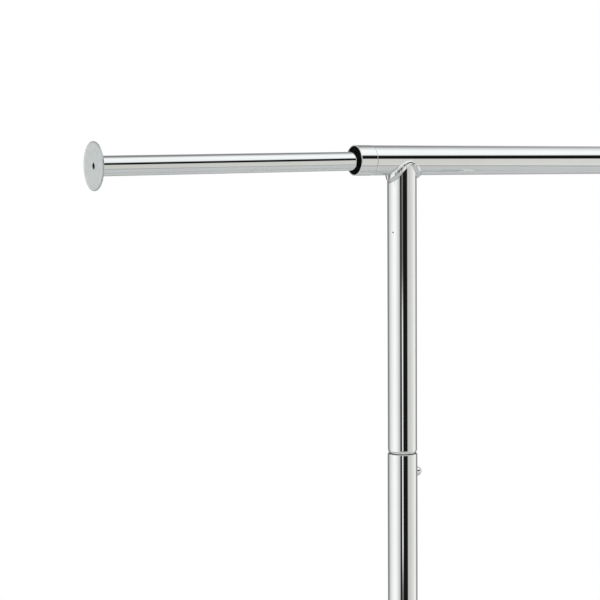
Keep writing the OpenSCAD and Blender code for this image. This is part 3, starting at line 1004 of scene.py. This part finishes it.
class RACK_OT_rods(bpy.types.Operator):
    """Builds the two extension rods and their end discs."""

    bl_idname = "rack.rods"
    bl_label = "Extension rods"

    def execute(self, context):
        s = sizes()
        for side in SIDES:
            inward = Vector(joint(f"{side}_extension_slide")["axis"])
            mid = middle(f"{side}_end_disc")
            body = f"{side}_extension"
            length = extent(f"{side}_rod").x / abs(inward.x)
            end = DISC_HALF + length - 0.3 * MM
            wall = tube_outline(ROD_RADIUS, ROD_RADIUS - ROD_WALL, DISC_HALF, end, 0.25 * MM)
            rod = Skin().turned(wall, mid, inward, s.round_steps)
            piece = make_piece(f"Rod.{side}", rod, "chrome_tube", body, [f"{side}_rod"])
            true_round(piece, mid, inward, [ROD_RADIUS])
            rim = DISC_RADIUS - s.disc_rim
            face = s.disc_dish - DISC_HALF
            edge = DISC_RADIUS - POLISHED_EDGE
            outline = rounded([
                (DISC_RADIUS, -DISC_HALF, 0.4 * MM), (DISC_RADIUS, DISC_HALF, 0.75 * MM),
                (s.disc_vent, DISC_HALF, 0.25 * MM), (s.disc_vent, face, 0.25 * MM),
                (rim - 0.7 * MM, face, 0.3 * MM), (rim, -DISC_HALF, 0.2 * MM),
            ], 6)
            disc = Skin().turned(self.with_face_rows(outline), mid, inward, DISC_STEPS)
            piece = make_piece(f"EndDisc.{side}", disc, "satin_disc", body, [f"{side}_end_disc"])
            mark(piece, "edge", lambda point: (point - mid).cross(inward).length > edge)
        return {"FINISHED"}

    def with_face_rows(self, outline):
        """Splits the flat faces into rows, so that each row's UV follows the distance from the middle."""
        result = []
        for a, b in zip(outline, outline[1:] + outline[:1]):
            result.append(a)
            if abs(a[0] - b[0]) > FACE_ROW:
                result += [(a[0] + (b[0] - a[0]) * k / FACE_ROWS, a[1]) for k in range(1, FACE_ROWS)]
        return result


# a spigot's shoulder starts this share of its height above the seam, and has this many rows
SHOULDER_START = 0.12
SHOULDER_STEPS = 8
# the seam's painted shade, a dark line in the groove, takes in the points this near to a spigot's wall
GROOVE_SHADE_REACH = 0.05 * MM
# a coped tube's rows are level up to this far from the tube that it meets
COPE_ROOM = 4 * MM
LOWER_LIP = 0.7 * MM


def spigot_radius():
    s = sizes()
    return LOWER_RADIUS - s.lower_wall - s.spigot_play


class RACK_OT_uprights(bpy.types.Operator):
    """Builds the coped upper uprights, the lower uprights and the base posts, with their button holes."""

    bl_idname = "rack.uprights"
    bl_label = "Uprights"

    def execute(self, context):
        for side, sign in SIDES.items():
            self.upper(side, sign)
            self.lower(side, sign)
            self.post(side, sign)
        return {"FINISHED"}

    def spigot_rows(self):
        """Outer and inner rows of a swaged tube, from the spigot's end at height 0 to the shoulder's top."""
        s = sizes()
        spigot = spigot_radius()
        bore = spigot - s.tube_wall
        start = s.spigot_length + s.shoulder * SHOULDER_START
        outer_rows = [(spigot, 0.0), (spigot, start)]
        inner_rows = [(bore, 0.0), (bore, start)]
        for k in range(1, SHOULDER_STEPS + 1):
            part = k / SHOULDER_STEPS
            rise = start + s.shoulder * (1 - SHOULDER_START) * part
            swell = 1 - (1 - part) ** 2
            outer_rows.append((spigot + (UPPER_RADIUS - spigot) * swell, rise))
            inner_rows.append((bore + (UPPER_RADIUS - s.tube_wall - bore) * swell, rise))
        return outer_rows, inner_rows

    def mark_groove_shade(self, piece, sign):
        """Marks a spigot's wall for painted shade, a dark line painted into the groove at the seam where shade
        falls.
        """
        spigot = spigot_radius()
        axis = Vector((sign * POST_X, 0))
        mark(piece, "groove", lambda point: abs((point.xy - axis).length - spigot) < GROOVE_SHADE_REACH)

    def upper(self, side, sign):
        s = sizes()
        base = UPPER_SEAM - s.spigot_length
        outer_rows, inner_rows = self.spigot_rows()
        cope = [
            lambda turn, r=r: BAR_MID.z - base - math.sqrt(BAR_RADIUS ** 2 - (r * math.sin(turn)) ** 2)
            for r in (UPPER_RADIUS, UPPER_RADIUS - s.tube_wall)
        ]
        below = BAR_MID.z - base - BAR_RADIUS - COPE_ROOM
        outer_rows += [(UPPER_RADIUS, below), (UPPER_RADIUS, cope[0])]
        inner_rows += [(UPPER_RADIUS - s.tube_wall, below), (UPPER_RADIUS - s.tube_wall, cope[1])]
        button = (0.0 if sign < 0 else math.pi, BUTTON_UPPER_Z - base, BUTTON_RADIUS + s.button_play)
        vent_at = math.pi + s.vent_turn if sign < 0 else 2 * math.pi - s.vent_turn
        vent = (vent_at, BAR_MID.z - s.vent_drop - base, s.vent_radius)
        skin = moved(
            pierced_tube(outer_rows, inner_rows, [button, vent], s.round_steps),
            Matrix.Translation((sign * POST_X, 0, base)),
        )
        piece = make_piece(f"UpperUpright.{side}", skin, "chrome_tube", "frame", [f"{side}_upper_upright"])
        self.mark_groove_shade(piece, sign)
        walls = [UPPER_RADIUS, UPPER_RADIUS - s.tube_wall]
        true_round(piece, Vector((sign * POST_X, 0, 0)), (0, 0, 1), walls)

    def lower(self, side, sign):
        s = sizes()
        bore = LOWER_RADIUS - s.lower_wall
        length = UPPER_SEAM - LOWER_SEAM
        outer_rows = lip_rows(LOWER_RADIUS, 0.0, LOWER_LIP, 1, True)
        outer_rows += lip_rows(LOWER_RADIUS, length, LOWER_LIP, -1, True)
        inner_rows = lip_rows(bore, 0.0, LOWER_LIP, 1, False)
        inner_rows += lip_rows(bore, length, LOWER_LIP, -1, False)
        angle = 0.0 if sign < 0 else math.pi
        hole = BUTTON_RADIUS + s.button_play
        holes = [(angle, z - LOWER_SEAM, hole) for z in (BUTTON_LOWER_Z, BUTTON_UPPER_Z)]
        skin = moved(
            pierced_tube(outer_rows, inner_rows, holes, s.round_steps),
            Matrix.Translation((sign * POST_X, 0, LOWER_SEAM)),
        )
        piece = make_piece(f"LowerUpright.{side}", skin, "chrome_tube", "frame", [f"{side}_lower_upright"])
        true_round(piece, Vector((sign * POST_X, 0, 0)), (0, 0, 1), [LOWER_RADIUS, bore])

    def post(self, side, sign):
        """The base post is a short upper upright stood on its head, coped to the foot tube below."""
        s = sizes()
        top = LOWER_SEAM + s.spigot_length
        outer_rows, inner_rows = self.spigot_rows()
        drop = top - FOOT_MID.z
        cope = [
            lambda turn, r=r: drop - math.sqrt(FOOT_RADIUS ** 2 - (r * math.cos(turn)) ** 2)
            for r in (UPPER_RADIUS, UPPER_RADIUS - s.tube_wall)
        ]
        below = drop - FOOT_RADIUS - COPE_ROOM
        outer_rows += [(UPPER_RADIUS, below), (UPPER_RADIUS, cope[0])]
        inner_rows += [(UPPER_RADIUS - s.tube_wall, below), (UPPER_RADIUS - s.tube_wall, cope[1])]
        button = (0.0 if sign < 0 else math.pi, top - BUTTON_LOWER_Z, BUTTON_RADIUS + s.button_play)
        flip = Matrix.Translation((sign * POST_X, 0, top)) @ Matrix.Diagonal((1, -1, -1, 1))
        skin = moved(pierced_tube(outer_rows, inner_rows, [button], s.round_steps), flip)
        piece = make_piece(f"BasePost.{side}", skin, "chrome_tube", "frame", [f"{side}_base_post"])
        self.mark_groove_shade(piece, sign)
        walls = [UPPER_RADIUS, UPPER_RADIUS - s.tube_wall]
        true_round(piece, Vector((sign * POST_X, 0, 0)), (0, 0, 1), walls)


class RACK_OT_welds(bpy.types.Operator):
    """Builds the rippled welds where the uprights meet the bar and the posts meet the foot tubes."""

    bl_idname = "rack.welds"
    bl_label = "Welds"

    def execute(self, context):
        for side, sign in SIDES.items():
            mirror = Matrix.Diagonal((-sign, 1, 1, 1))
            top = weld_skin(BAR_RADIUS, BAR_WELD_SEED)
            moved(top, Matrix.Translation((sign * POST_X, 0, BAR_MID.z)) @ mirror)
            make_piece(f"BarWeld.{side}", top, "weld_bead", "frame", [f"{side}_bar_weld"], WELD_CREASE)
            foot = weld_skin(FOOT_RADIUS, BASE_WELD_SEED)
            turn = Matrix.Rotation(math.pi / 2, 4, "Z") @ Matrix.Rotation(math.pi, 4, "X")
            moved(foot, Matrix.Translation((sign * POST_X, 0, FOOT_MID.z)) @ mirror @ turn)
            make_piece(f"BaseWeld.{side}", foot, "weld_bead", "frame", [f"{side}_base_weld"], WELD_CREASE)
        return {"FINISHED"}


class RACK_OT_buttons(bpy.types.Operator):
    """Builds the four domed push buttons."""

    bl_idname = "rack.buttons"
    bl_label = "Push buttons"

    def execute(self, context):
        for side, sign in SIDES.items():
            for level in ("upper", "lower"):
                node = f"{side}_{level}_button"
                low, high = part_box(node)
                mid = (low + high) / 2
                inward = -sign
                foot = low.x if inward > 0 else high.x
                length = high.x - low.x
                radius = BUTTON_RADIUS
                flange = radius + BUTTON_FLANGE
                outline = [(0.0, 0.0), (flange - 0.2 * MM, 0.0), (flange, 0.2 * MM), (flange, 0.8 * MM)]
                outline += [(flange - 0.2 * MM, 1.0 * MM), (radius + 0.3 * MM, 1.0 * MM), (radius, 1.3 * MM)]
                neck = length - radius
                for k in range(17):
                    a = math.pi / 2 * k / 16
                    outline.append((radius * math.cos(a), neck + radius * math.sin(a)))
                outline[-1] = (0.0, length)
                skin = Skin().turned(outline, Vector((foot, mid.y, mid.z)), (inward, 0, 0), 64)
                body = f"{side}_{level}_push_button"
                make_piece(f"Button.{side}.{level}", skin, "button_chrome", body, [node])
        return {"FINISHED"}


class RACK_OT_base(bpy.types.Operator):
    """Builds the foot tubes, their end caps, the base rails and the rail bolts."""

    bl_idname = "rack.base"
    bl_label = "Base"

    def execute(self, context):
        s = sizes()
        for side, sign in SIDES.items():
            centre = Vector((sign * POST_X, 0, FOOT_MID.z))
            bore = FOOT_RADIUS - s.tube_wall
            outline = tube_outline(FOOT_RADIUS, bore, -FOOT_HALF, FOOT_HALF, s.tube_lip)
            skin = Skin().turned(outline, centre, (0, 1, 0), s.round_steps)
            piece = make_piece(f"FootTube.{side}", skin, "chrome_tube", "frame", [f"{side}_foot_tube"])
            true_round(piece, centre, (0, 1, 0), [FOOT_RADIUS])
            self.caps(side, centre)
            self.bolts(side, sign)
        for name in ("front", "rear"):
            self.rail(name)
        return {"FINISHED"}

    def caps(self, side, centre):
        """Two domed caps whose ribbed plugs sit in the foot tube, as one piece."""
        s = sizes()
        high = extent(f"{side}_foot_caps").y / 2
        wall = FOOT_RADIUS - s.tube_wall
        plug = FOOT_HALF - 14 * MM
        snug = wall - 0.1 * MM
        between_ribs = wall - 0.6 * MM
        dome = FOOT_HALF + 0.6 * MM
        rise = high - FOOT_HALF - 0.6 * MM
        skin = Skin()
        for end in (-1, 1):
            outline = [(0.0, plug), (wall - 1 * MM, plug), (snug, FOOT_HALF - 13 * MM)]
            for k in range(4):
                start = FOOT_HALF - 12 * MM + k * 3 * MM
                outline += [(snug, start), (between_ribs, start + 0.5 * MM)]
                outline += [(between_ribs, start + 1.5 * MM), (snug, start + 2.0 * MM)]
            outline += [(snug, FOOT_HALF), (FOOT_RADIUS, FOOT_HALF), (FOOT_RADIUS, dome)]
            for k in range(1, 9):
                a = math.pi / 2 * k / 8
                outline.append((FOOT_RADIUS - 5 * MM * (1 - math.cos(a)), dome + rise * 0.8 * math.sin(a)))
            outline.append((6 * MM, high - rise * 0.03))
            outline.append((0.0, high))
            skin.turned(outline, centre, (0, end, 0), 96)
        make_piece(f"FootCaps.{side}", skin, "black_plastic", "frame", [f"{side}_foot_caps"])

    def rail(self, name):
        s = sizes()
        node = f"{name}_base_rail"
        mid = middle(node)
        rows = []
        for radius in (RAIL_RADIUS, RAIL_RADIUS - s.tube_wall):
            def end(turn, r=radius):
                return POST_X - math.sqrt(FOOT_RADIUS ** 2 - (r * math.cos(turn)) ** 2)
            rows.append([
                (radius, lambda turn, f=end: -f(turn)), (radius, -POST_X + FOOT_RADIUS + 3 * MM),
                (radius, POST_X - FOOT_RADIUS - 3 * MM), (radius, end),
            ])
        skin = pierced_tube(rows[0], rows[1], [], s.round_steps)
        turn = Matrix.Translation(mid) @ axes_along((1, 0, 0)).to_4x4()
        piece = make_piece(f"BaseRail.{name}", moved(skin, turn), "chrome_tube", "frame", [node])
        true_round(piece, mid, (1, 0, 0), [RAIL_RADIUS])

    def bolts(self, side, sign):
        """Two socket-headed bolts through a foot tube, copied by geometry nodes."""
        low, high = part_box("rail_bolts")
        rail_y = middle("rear_base_rail").y
        head = 5.1 * MM
        tall = 3.6 * MM
        outer = abs(low.x) - POST_X
        socket = 2.0 * MM
        shank = 3 * MM
        reach = outer + FOOT_RADIUS + 18 * MM
        outline = [(0.0, tall * 0.45), (socket, tall * 0.45), (socket, 0.25 * MM), (socket + 0.2 * MM, 0.0)]
        outline += [(head - 0.6 * MM, 0.0), (head - 0.2 * MM, 0.2 * MM), (head, 0.6 * MM)]
        outline += [(head, tall - 0.2 * MM), (head - 0.2 * MM, tall)]
        outline += [(shank, tall), (shank, reach), (0.0, reach)]
        skin = Skin().turned(outline, Vector((0, 0, 0)), (-sign, 0, 0), 48)
        centre = Vector((sign * abs(low.x), -rail_y, FOOT_MID.z))
        nodes = ["rail_bolts"] if side == "right" else []
        repeated(f"RailBolts.{side}", skin, "zinc_steel", "frame", nodes, 2, centre, (0, 2 * rail_y, 0))


# radius of a wheel's core, as a share of the wheel's
CORE_SHARE = 0.68


class RACK_OT_casters(bpy.types.Operator):
    """Builds the four casters: forks, stems, axles, ribbed cores, grooved tyres and the two pedals."""

    bl_idname = "rack.casters"
    bl_label = "Casters"

    def execute(self, context):
        for corner, (side, end) in CORNERS.items():
            softened(f"{corner}_stem", "zinc_steel", "frame", 0.35 * MM, f"Stem.{corner}")
            softened(f"{corner}_fork", "zinc_steel", f"{corner}_swivel", 0.4 * MM, f"Fork.{corner}")
            self.axle(corner)
            self.core(corner)
            self.tyre(corner)
            if end < 0:
                self.pedal(corner)
        return {"FINISHED"}

    def axle(self, corner):
        """A bolt with a six-sided head and a nut, each with a chamfered face."""
        node = f"{corner}_axle"
        mid = middle(node)
        half = extent(node).y / 2
        shaft = 4 * MM
        head = 7 * MM
        tall = 3 * MM
        skin = Skin()
        turn = axes_along((0, 1, 0))
        rings = []
        for radius, height in (
            (0.0, -half), (head * 0.80, -half), (head, -half + 0.6 * MM), (head, -half + tall),
            (shaft, -half + tall), (shaft, half - tall), (head, half - tall), (head, half - 0.6 * MM),
            (head * 0.80, half), (0.0, half),
        ):
            if radius < 1e-9 or radius <= shaft:
                rings.append(circle(mid, turn, radius, height, 48))
                continue
            ring = []
            for k in range(48):
                a = 2 * math.pi * k / 48
                flat = head * math.cos(math.pi / 6) / math.cos((a % (math.pi / 3)) - math.pi / 6)
                r = min(radius, flat) if radius < head else flat
                ring.append(mid + turn @ Vector((r * math.cos(a), r * math.sin(a), height)))
            rings.append(ring)
        skin.loft(rings)
        make_piece(f"Axle.{corner}", skin, "zinc_steel", f"{corner}_swivel", [node], 25)

    def core(self, corner):
        """Moulded core with a boss, a web, a rim, and ribs between boss and rim on both sides."""
        node = f"{corner}_hub"
        mid = middle(node)
        half = extent(node).y / 2
        rim = WHEEL_RADIUS * CORE_SHARE
        rim_half = WHEEL_WIDTH / 2 - 1 * MM
        web = WHEEL_WIDTH * 0.35 / 2
        boss = 8 * MM
        bore = 4.05 * MM
        soft = 0.5 * MM
        outline = rounded([
            (rim, -rim_half, soft * 0.5), (rim, rim_half, soft * 0.5), (rim - 3 * MM, rim_half, soft),
            (rim - 3.6 * MM, web, 1 * MM), (boss + 1 * MM, web, 1 * MM), (boss, half, soft),
            (bore, half, soft * 0.5), (bore, -half, soft * 0.5), (boss, -half, soft),
            (boss + 1 * MM, -web, 1 * MM),
            (rim - 3.6 * MM, -web, 1 * MM), (rim - 3 * MM, -rim_half, soft),
        ], 3)
        skin = Skin().turned(outline, mid, (0, 1, 0), 96)
        make_piece(f"WheelCore.{corner}", skin, "wheel_core", f"{corner}_wheel", [node])
        count = sizes().hub_ribs
        depth = rim_half - 2.2 * MM
        near = boss - 0.5 * MM
        far = rim - 2.8 * MM
        thin = 0.9 * MM
        skin = Skin()
        turn = axes_along((0, 1, 0))
        for sign in (-1, 1):
            low, high = sorted((sign * (web - 0.3 * MM), sign * depth))
            blade = [(near, -thin), (far, -thin), (far, thin), (near, thin)]
            part = prism(blade, low, high, 0.3 * MM, turn)
            shift = len(skin.points)
            skin.points += part.points
            for face, uvs in zip(part.faces, part.uvs):
                skin.add_face([i + shift for i in face], uvs)
        repeated(
            f"WheelRibs.{corner}", skin, "wheel_core", f"{corner}_wheel", [], count, mid,
            axis=(0, 1, 0), turn=2 * math.pi / count,
        )

    def tyre(self, corner):
        """Rubber tread with rounded shoulders and three fine grooves."""
        node = f"{corner}_tyre"
        mid = middle(node)
        inner = WHEEL_RADIUS * CORE_SHARE
        half = WHEEL_WIDTH / 2
        edge = half * 0.3
        outline = [(inner, half), (inner, -half), (inner + 0.6 * MM, -half)]
        for k in range(9):
            a = math.pi / 2 * k / 8
            outline.append((WHEEL_RADIUS - edge + edge * math.sin(a), -half + edge - edge * math.cos(a)))
        for groove in (-4 * MM, 0.0, 4 * MM):
            outline += [(WHEEL_RADIUS, groove - 0.5 * MM), (WHEEL_RADIUS - 0.5 * MM, groove - 0.2 * MM)]
            outline += [(WHEEL_RADIUS - 0.5 * MM, groove + 0.2 * MM), (WHEEL_RADIUS, groove + 0.5 * MM)]
        for k in range(8, -1, -1):
            a = math.pi / 2 * k / 8
            outline.append((WHEEL_RADIUS - edge + edge * math.sin(a), half - edge + edge * math.cos(a)))
        outline.append((inner + 0.6 * MM, half))
        skin = Skin().turned(outline, mid, (0, 1, 0), 128)
        make_piece(f"Tyre.{corner}", skin, "wheel_tread", f"{corner}_wheel", [node], 40)

    def pedal(self, corner):
        node = f"{corner}_brake"
        body = f"{corner}_brake_pedal"
        softened(node, "brake_pedal", body, 0.5 * MM, f"Pedal.{corner}", segments=3)
        pin = Vector(joint(f"{corner}_brake_press")["pos_m"])
        rise = math.radians(12)
        along = Vector((math.cos(rise), 0, math.sin(rise)))
        up = Vector((-math.sin(rise), 0, math.cos(rise)))
        width = extent(f"{corner}_hub").y - 4 * MM
        turn = Matrix((along, up, along.cross(up))).transposed()
        blade = [(-0.7 * MM, -0.5 * MM), (0.7 * MM, -0.5 * MM), (0.4 * MM, 0.6 * MM), (-0.4 * MM, 0.6 * MM)]
        skin = prism(blade, -width / 2, width / 2, 0.25 * MM, turn)
        count = sizes().pedal_ribs
        start = pin + along * 11 * MM + up * 1.5 * MM
        repeated(f"PedalRibs.{corner}", skin, "brake_pedal", body, [], count, start, along * 3 * MM)


class RACK_OT_inner(bpy.types.Operator):
    """Gives the pieces inside the tubes their finishes; they keep the frame's shapes."""

    bl_idname = "rack.inner"
    bl_label = "Inner pieces"

    def execute(self, context):
        slots = {entry["node"]: entry["material_slot"] for entry in frame["record"]["subparts"]}
        for name, obj in frame["nodes"].items():
            if obj.hide_render:
                continue
            obj.data.materials.clear()
            obj.data.materials.append(finish(slots[name]))
        return {"FINISHED"}


# ---- stage ----

def toned(level, warm):
    """Colour of a panel's light, warm above 0 and cool below."""
    return (level * (1 + 0.02 * warm), level, level * (1 - 0.04 * warm))


# the studio's panels going round it: azimuth in degrees from the front (-Y) towards +X, light and warmth
WALL_LIGHT = [
    # the wall behind
    (-180, 0.25, 0), (-165, 0.25, 0),
    # the long light wall on the left
    (-150, 0.7, -1), (-115, 1.0, 0.5), (-95, 1.1, 0.5), (-80, 1.0, 0), (-55, 0.6, -1), (-50, 0.2, 0),
    # the dark doorway beside the camera, and the thin light strip in it
    (-47, 0.005, 0), (-38, 0.005, 0), (-37, 0.2, 2), (-28, 0.2, 2), (-27, 0.01, 0.5), (3, 0.01, 0.5),
    # the front wall, which brightens towards the right
    (6, 0.05, 1), (9, 0.6, 1), (35, 0.7, 1), (80, 1.0, 0), (92, 0.9, 0),
    # the corner on the right, and the paler panel beyond it
    (98, 0.25, 0), (118, 0.25, 0), (126, 0.5, 0), (140, 0.5, 0), (165, 0.25, 0), (180, 0.25, 0),
]
CEILING_LIGHT = [
    (-180, 0.35, 0), (-150, 0.6, -0.5), (-60, 0.9, -0.5), (0, 0.9, -0.5), (60, 1.1, -0.5), (80, 1.05, -0.5),
    (110, 0.75, -0.5), (135, 0.25, 0), (160, 0.3, 0), (180, 0.35, 0),
]
LOW_LIGHT = [
    (-180, 0.35, 0), (-120, 0.5, 0), (-60, 0.5, 0), (0, 0.35, 1), (40, 0.35, 1), (60, 0.5, 0.5),
    (100, 0.45, 0), (180, 0.35, 0),
]


CAMERA_PLACE = (-1.558775, -1.427654, 1.622799)
CAMERA_YAW = math.radians(30.199)
CAMERA_PITCH = math.radians(4.415)
CAMERA_ROLL = math.radians(0.407)
CAMERA_LENS = 95.476
CAMERA_SENSOR = 36.0
CAMERA_SIGHT = 200.0
# the floor's rings, where it fades into the white backdrop, and where its mirror image ends
FLOOR_RINGS = (0.0, 1.0, 2.5, 6.0, 60.0)
FLOOR_FADE = (1.3, 3.8)
FLOOR_REACH = 1.7
FLOOR_EDGE = 0.3


class RACK_OT_stage(bpy.types.Operator):
    """Builds the pale floor, the soft studio light and the camera."""

    bl_idname = "rack.stage"
    bl_label = "Stage"

    def execute(self, context):
        self.floor()
        self.light()
        self.camera(context)
        context.scene.view_settings.view_transform = "Standard"
        return {"FINISHED"}

    def floor(self):
        skin = Skin()
        centre = Vector((0, 0, 0))
        turn = Matrix.Identity(3)
        rings = [circle(centre, turn, r, 0, 96) for r in FLOOR_RINGS]
        ids = [skin.add_points(ring) for ring in rings]
        for first, second in zip(ids, ids[1:]):
            skin.bridge(first, second)
        mesh = bpy.data.meshes.new("Floor")
        mesh.from_pydata([tuple(p) for p in skin.points], [], skin.faces)
        obj = link_mesh("Floor", mesh)
        material, tree, shader = new_finish("Pale floor")
        tint = tuple(colours().floor)
        fine = clouds(tree, place(tree, "Object", (1, 1, 1)), 9.0, 6.0)
        tone = ramp(tree, fine, [(0.3, shade(tint, 0.985)), (0.7, tint)])
        tree.links.new(tone, shader.inputs["Base Color"])
        shader.inputs["Roughness"].default_value = 0.7
        # towards its far edge the floor brightens into the white backdrop
        texture = tree.nodes.new("ShaderNodeTexCoord")
        reach = tree.nodes.new("ShaderNodeVectorMath")
        reach.operation = "LENGTH"
        tree.links.new(texture.outputs["Object"], reach.inputs[0])
        fade = add_node(tree, "ShaderNodeMapRange", From_Min=FLOOR_FADE[0], From_Max=FLOOR_FADE[1])
        fade.interpolation_type = "SMOOTHSTEP"
        tree.links.new(reach.outputs["Value"], fade.inputs["Value"])
        sight = tree.nodes.new("ShaderNodeLightPath")
        both = tree.nodes.new("ShaderNodeMath")
        both.operation = "MULTIPLY"
        tree.links.new(fade.outputs["Result"], both.inputs[0])
        tree.links.new(sight.outputs["Is Camera Ray"], both.inputs[1])
        glow = add_node(tree, "ShaderNodeEmission", Strength=1.0)
        mix = tree.nodes.new("ShaderNodeMixShader")
        tree.links.new(both.outputs["Value"], mix.inputs["Fac"])
        tree.links.new(shader.outputs["BSDF"], mix.inputs[1])
        tree.links.new(glow.outputs["Emission"], mix.inputs[2])
        # mirrored in the tubes, the floor ends where the studio's walls stand
        wall = add_node(tree, "ShaderNodeMapRange", From_Min=FLOOR_REACH, From_Max=FLOOR_REACH + FLOOR_EDGE)
        tree.links.new(reach.outputs["Value"], wall.inputs["Value"])
        unseen = tree.nodes.new("ShaderNodeMath")
        unseen.operation = "SUBTRACT"
        tree.links.new(wall.outputs["Result"], unseen.inputs[0])
        tree.links.new(sight.outputs["Is Camera Ray"], unseen.inputs[1])
        unseen.use_clamp = True
        open_end = tree.nodes.new("ShaderNodeMixShader")
        clear = tree.nodes.new("ShaderNodeBsdfTransparent")
        tree.links.new(unseen.outputs["Value"], open_end.inputs["Fac"])
        tree.links.new(mix.outputs["Shader"], open_end.inputs[1])
        tree.links.new(clear.outputs["BSDF"], open_end.inputs[2])
        out = next(n for n in tree.nodes if n.type == "OUTPUT_MATERIAL")
        tree.links.new(open_end.outputs["Shader"], out.inputs["Surface"])
        obj.data.materials.append(material)

    def light(self):
        """A white backdrop, and for the tubes to mirror: grey walls, a bright ceiling and a dark doorway."""
        world = bpy.data.worlds.new("Soft studio")
        bpy.context.scene.world = world
        world.use_nodes = True
        tree = world.node_tree
        tree.nodes.clear()
        link = tree.links.new

        def math_node(operation, *values):
            made = tree.nodes.new("ShaderNodeMath")
            made.operation = operation
            for slot, value in zip(made.inputs, values):
                if isinstance(value, (int, float)):
                    slot.default_value = value
                else:
                    link(value, slot)
            return made.outputs["Value"]

        def between(value, low, high):
            made = add_node(tree, "ShaderNodeMapRange", From_Min=low, From_Max=high)
            made.interpolation_type = "SMOOTHSTEP"
            link(value, made.inputs["Value"])
            return made.outputs["Result"]

        def blend(factor, first, second):
            return mixed(tree, factor, first, second)

        def outside(value, low, high):
            return math_node("SUBTRACT", 1.0, between(value, low, high))

        texture = tree.nodes.new("ShaderNodeTexCoord")
        parts = tree.nodes.new("ShaderNodeSeparateXYZ")
        link(texture.outputs["Generated"], parts.inputs[0])
        # azimuth from the front (-Y) towards +X, and elevation, both in degrees
        back = math_node("MULTIPLY", parts.outputs["Y"], -1.0)
        azimuth = math_node("DEGREES", math_node("ARCTAN2", parts.outputs["X"], back))
        elevation = math_node("DEGREES", math_node("ARCSINE", parts.outputs["Z"]))
        around = math_node("ADD", math_node("DIVIDE", azimuth, 360.0), 0.5)

        def at(degrees):
            return degrees / 360 + 0.5

        walls = ramp(tree, around, [(at(a), toned(v, warm)) for a, v, warm in WALL_LIGHT])
        ceiling = ramp(tree, around, [(at(a), toned(v, warm)) for a, v, warm in CEILING_LIGHT])
        low_wall = ramp(tree, around, [(at(a), toned(v, warm)) for a, v, warm in LOW_LIGHT])
        # the dark doorway beside the camera is closed above eye level and near the floor
        doorway = math_node("MULTIPLY", between(azimuth, -52, -46), outside(azimuth, 2, 8))
        near_floor = outside(elevation, -26, -19)
        closed = math_node("MULTIPLY", doorway, math_node("ADD", between(elevation, 3, 8), near_floor))
        walls = blend(closed, walls, (0.56, 0.57, 0.57))
        # a dark gap between the front wall and the ceiling light
        gap_span = math_node("MULTIPLY", between(azimuth, 8, 18), outside(azimuth, 52, 75))
        gap_low = between(elevation, 7, 11)
        gap = math_node("MULTIPLY", gap_span, gap_low)
        lower = blend(gap, walls, (0.006, 0.006, 0.007))
        # the thin light strip seen beside the camera fades out towards the floor and the eye line
        strip = math_node("MULTIPLY", between(azimuth, -37.5, -36.5), outside(azimuth, -28, -27))
        strip_low = math_node("MULTIPLY", strip, between(elevation, -15, -13))
        strip_span = math_node("MULTIPLY", strip_low, outside(elevation, -5.5, -3))
        lower = blend(strip_span, lower, (0.88, 0.88, 0.88))
        lowest = blend(between(elevation, -34, -30), low_wall, lower)
        room = blend(between(elevation, 26, 35), lowest, ceiling)
        sight = tree.nodes.new("ShaderNodeLightPath")
        seen = blend(sight.outputs["Is Camera Ray"], room, (1.0, 1.0, 1.0))
        light = tree.nodes.new("ShaderNodeBackground")
        link(seen, light.inputs["Color"])
        out = tree.nodes.new("ShaderNodeOutputWorld")
        link(light.outputs["Background"], out.inputs["Surface"])

    def camera(self, context):
        yaw, pitch, roll = CAMERA_YAW, CAMERA_PITCH, CAMERA_ROLL
        ahead = Vector((math.sin(yaw) * math.cos(pitch), math.cos(yaw) * math.cos(pitch), -math.sin(pitch)))
        level = Vector((math.cos(yaw), -math.sin(yaw), 0))
        down = level.cross(ahead) * -1
        across = level * math.cos(roll) + down * math.sin(roll)
        drop = down * math.cos(roll) - level * math.sin(roll)
        turn = Matrix((across, -drop, -ahead)).transposed().to_4x4()
        data = bpy.data.cameras.new("Camera")
        data.lens = CAMERA_LENS
        data.sensor_width = CAMERA_SENSOR
        data.clip_end = CAMERA_SIGHT
        obj = bpy.data.objects.new("Camera", data)
        obj.matrix_world = Matrix.Translation(CAMERA_PLACE) @ turn
        context.scene.collection.objects.link(obj)
        context.scene.camera = obj


class RACK_PT_panel(bpy.types.Panel):
    """Lists the rack's pieces, sizes and colours."""

    bl_idname = "RACK_PT_panel"
    bl_label = "Clothes rack"
    bl_space_type = "VIEW_3D"
    bl_region_type = "UI"
    bl_category = "Clothes rack"

    def draw(self, context):
        for operator in PIECE_OPERATORS:
            self.layout.operator(operator.bl_idname)
        for group in (context.scene.rack_sizes, context.scene.rack_colours):
            box = self.layout.box()
            for name in group.__annotations__:
                box.prop(group, name)


PIECE_OPERATORS = (
    RACK_OT_bar,
    RACK_OT_rods,
    RACK_OT_uprights,
    RACK_OT_welds,
    RACK_OT_buttons,
    RACK_OT_base,
    RACK_OT_casters,
    RACK_OT_inner,
    RACK_OT_stage,
)
CLASSES = (RackSizes, RackColours) + PIECE_OPERATORS + (RACK_PT_panel,)


def register():
    for cls in CLASSES:
        bpy.utils.register_class(cls)
    bpy.types.Scene.rack_sizes = PointerProperty(type=RackSizes)
    bpy.types.Scene.rack_colours = PointerProperty(type=RackColours)


def unregister():
    del bpy.types.Scene.rack_sizes
    del bpy.types.Scene.rack_colours
    for cls in reversed(CLASSES):
        bpy.utils.unregister_class(cls)


def main():
    register()
    bpy.ops.rack.bar()
    bpy.ops.rack.rods()
    bpy.ops.rack.uprights()
    bpy.ops.rack.welds()
    bpy.ops.rack.buttons()
    bpy.ops.rack.base()
    bpy.ops.rack.casters()
    bpy.ops.rack.inner()
    bpy.ops.rack.stage()


if __name__ == "__main__":
    main()
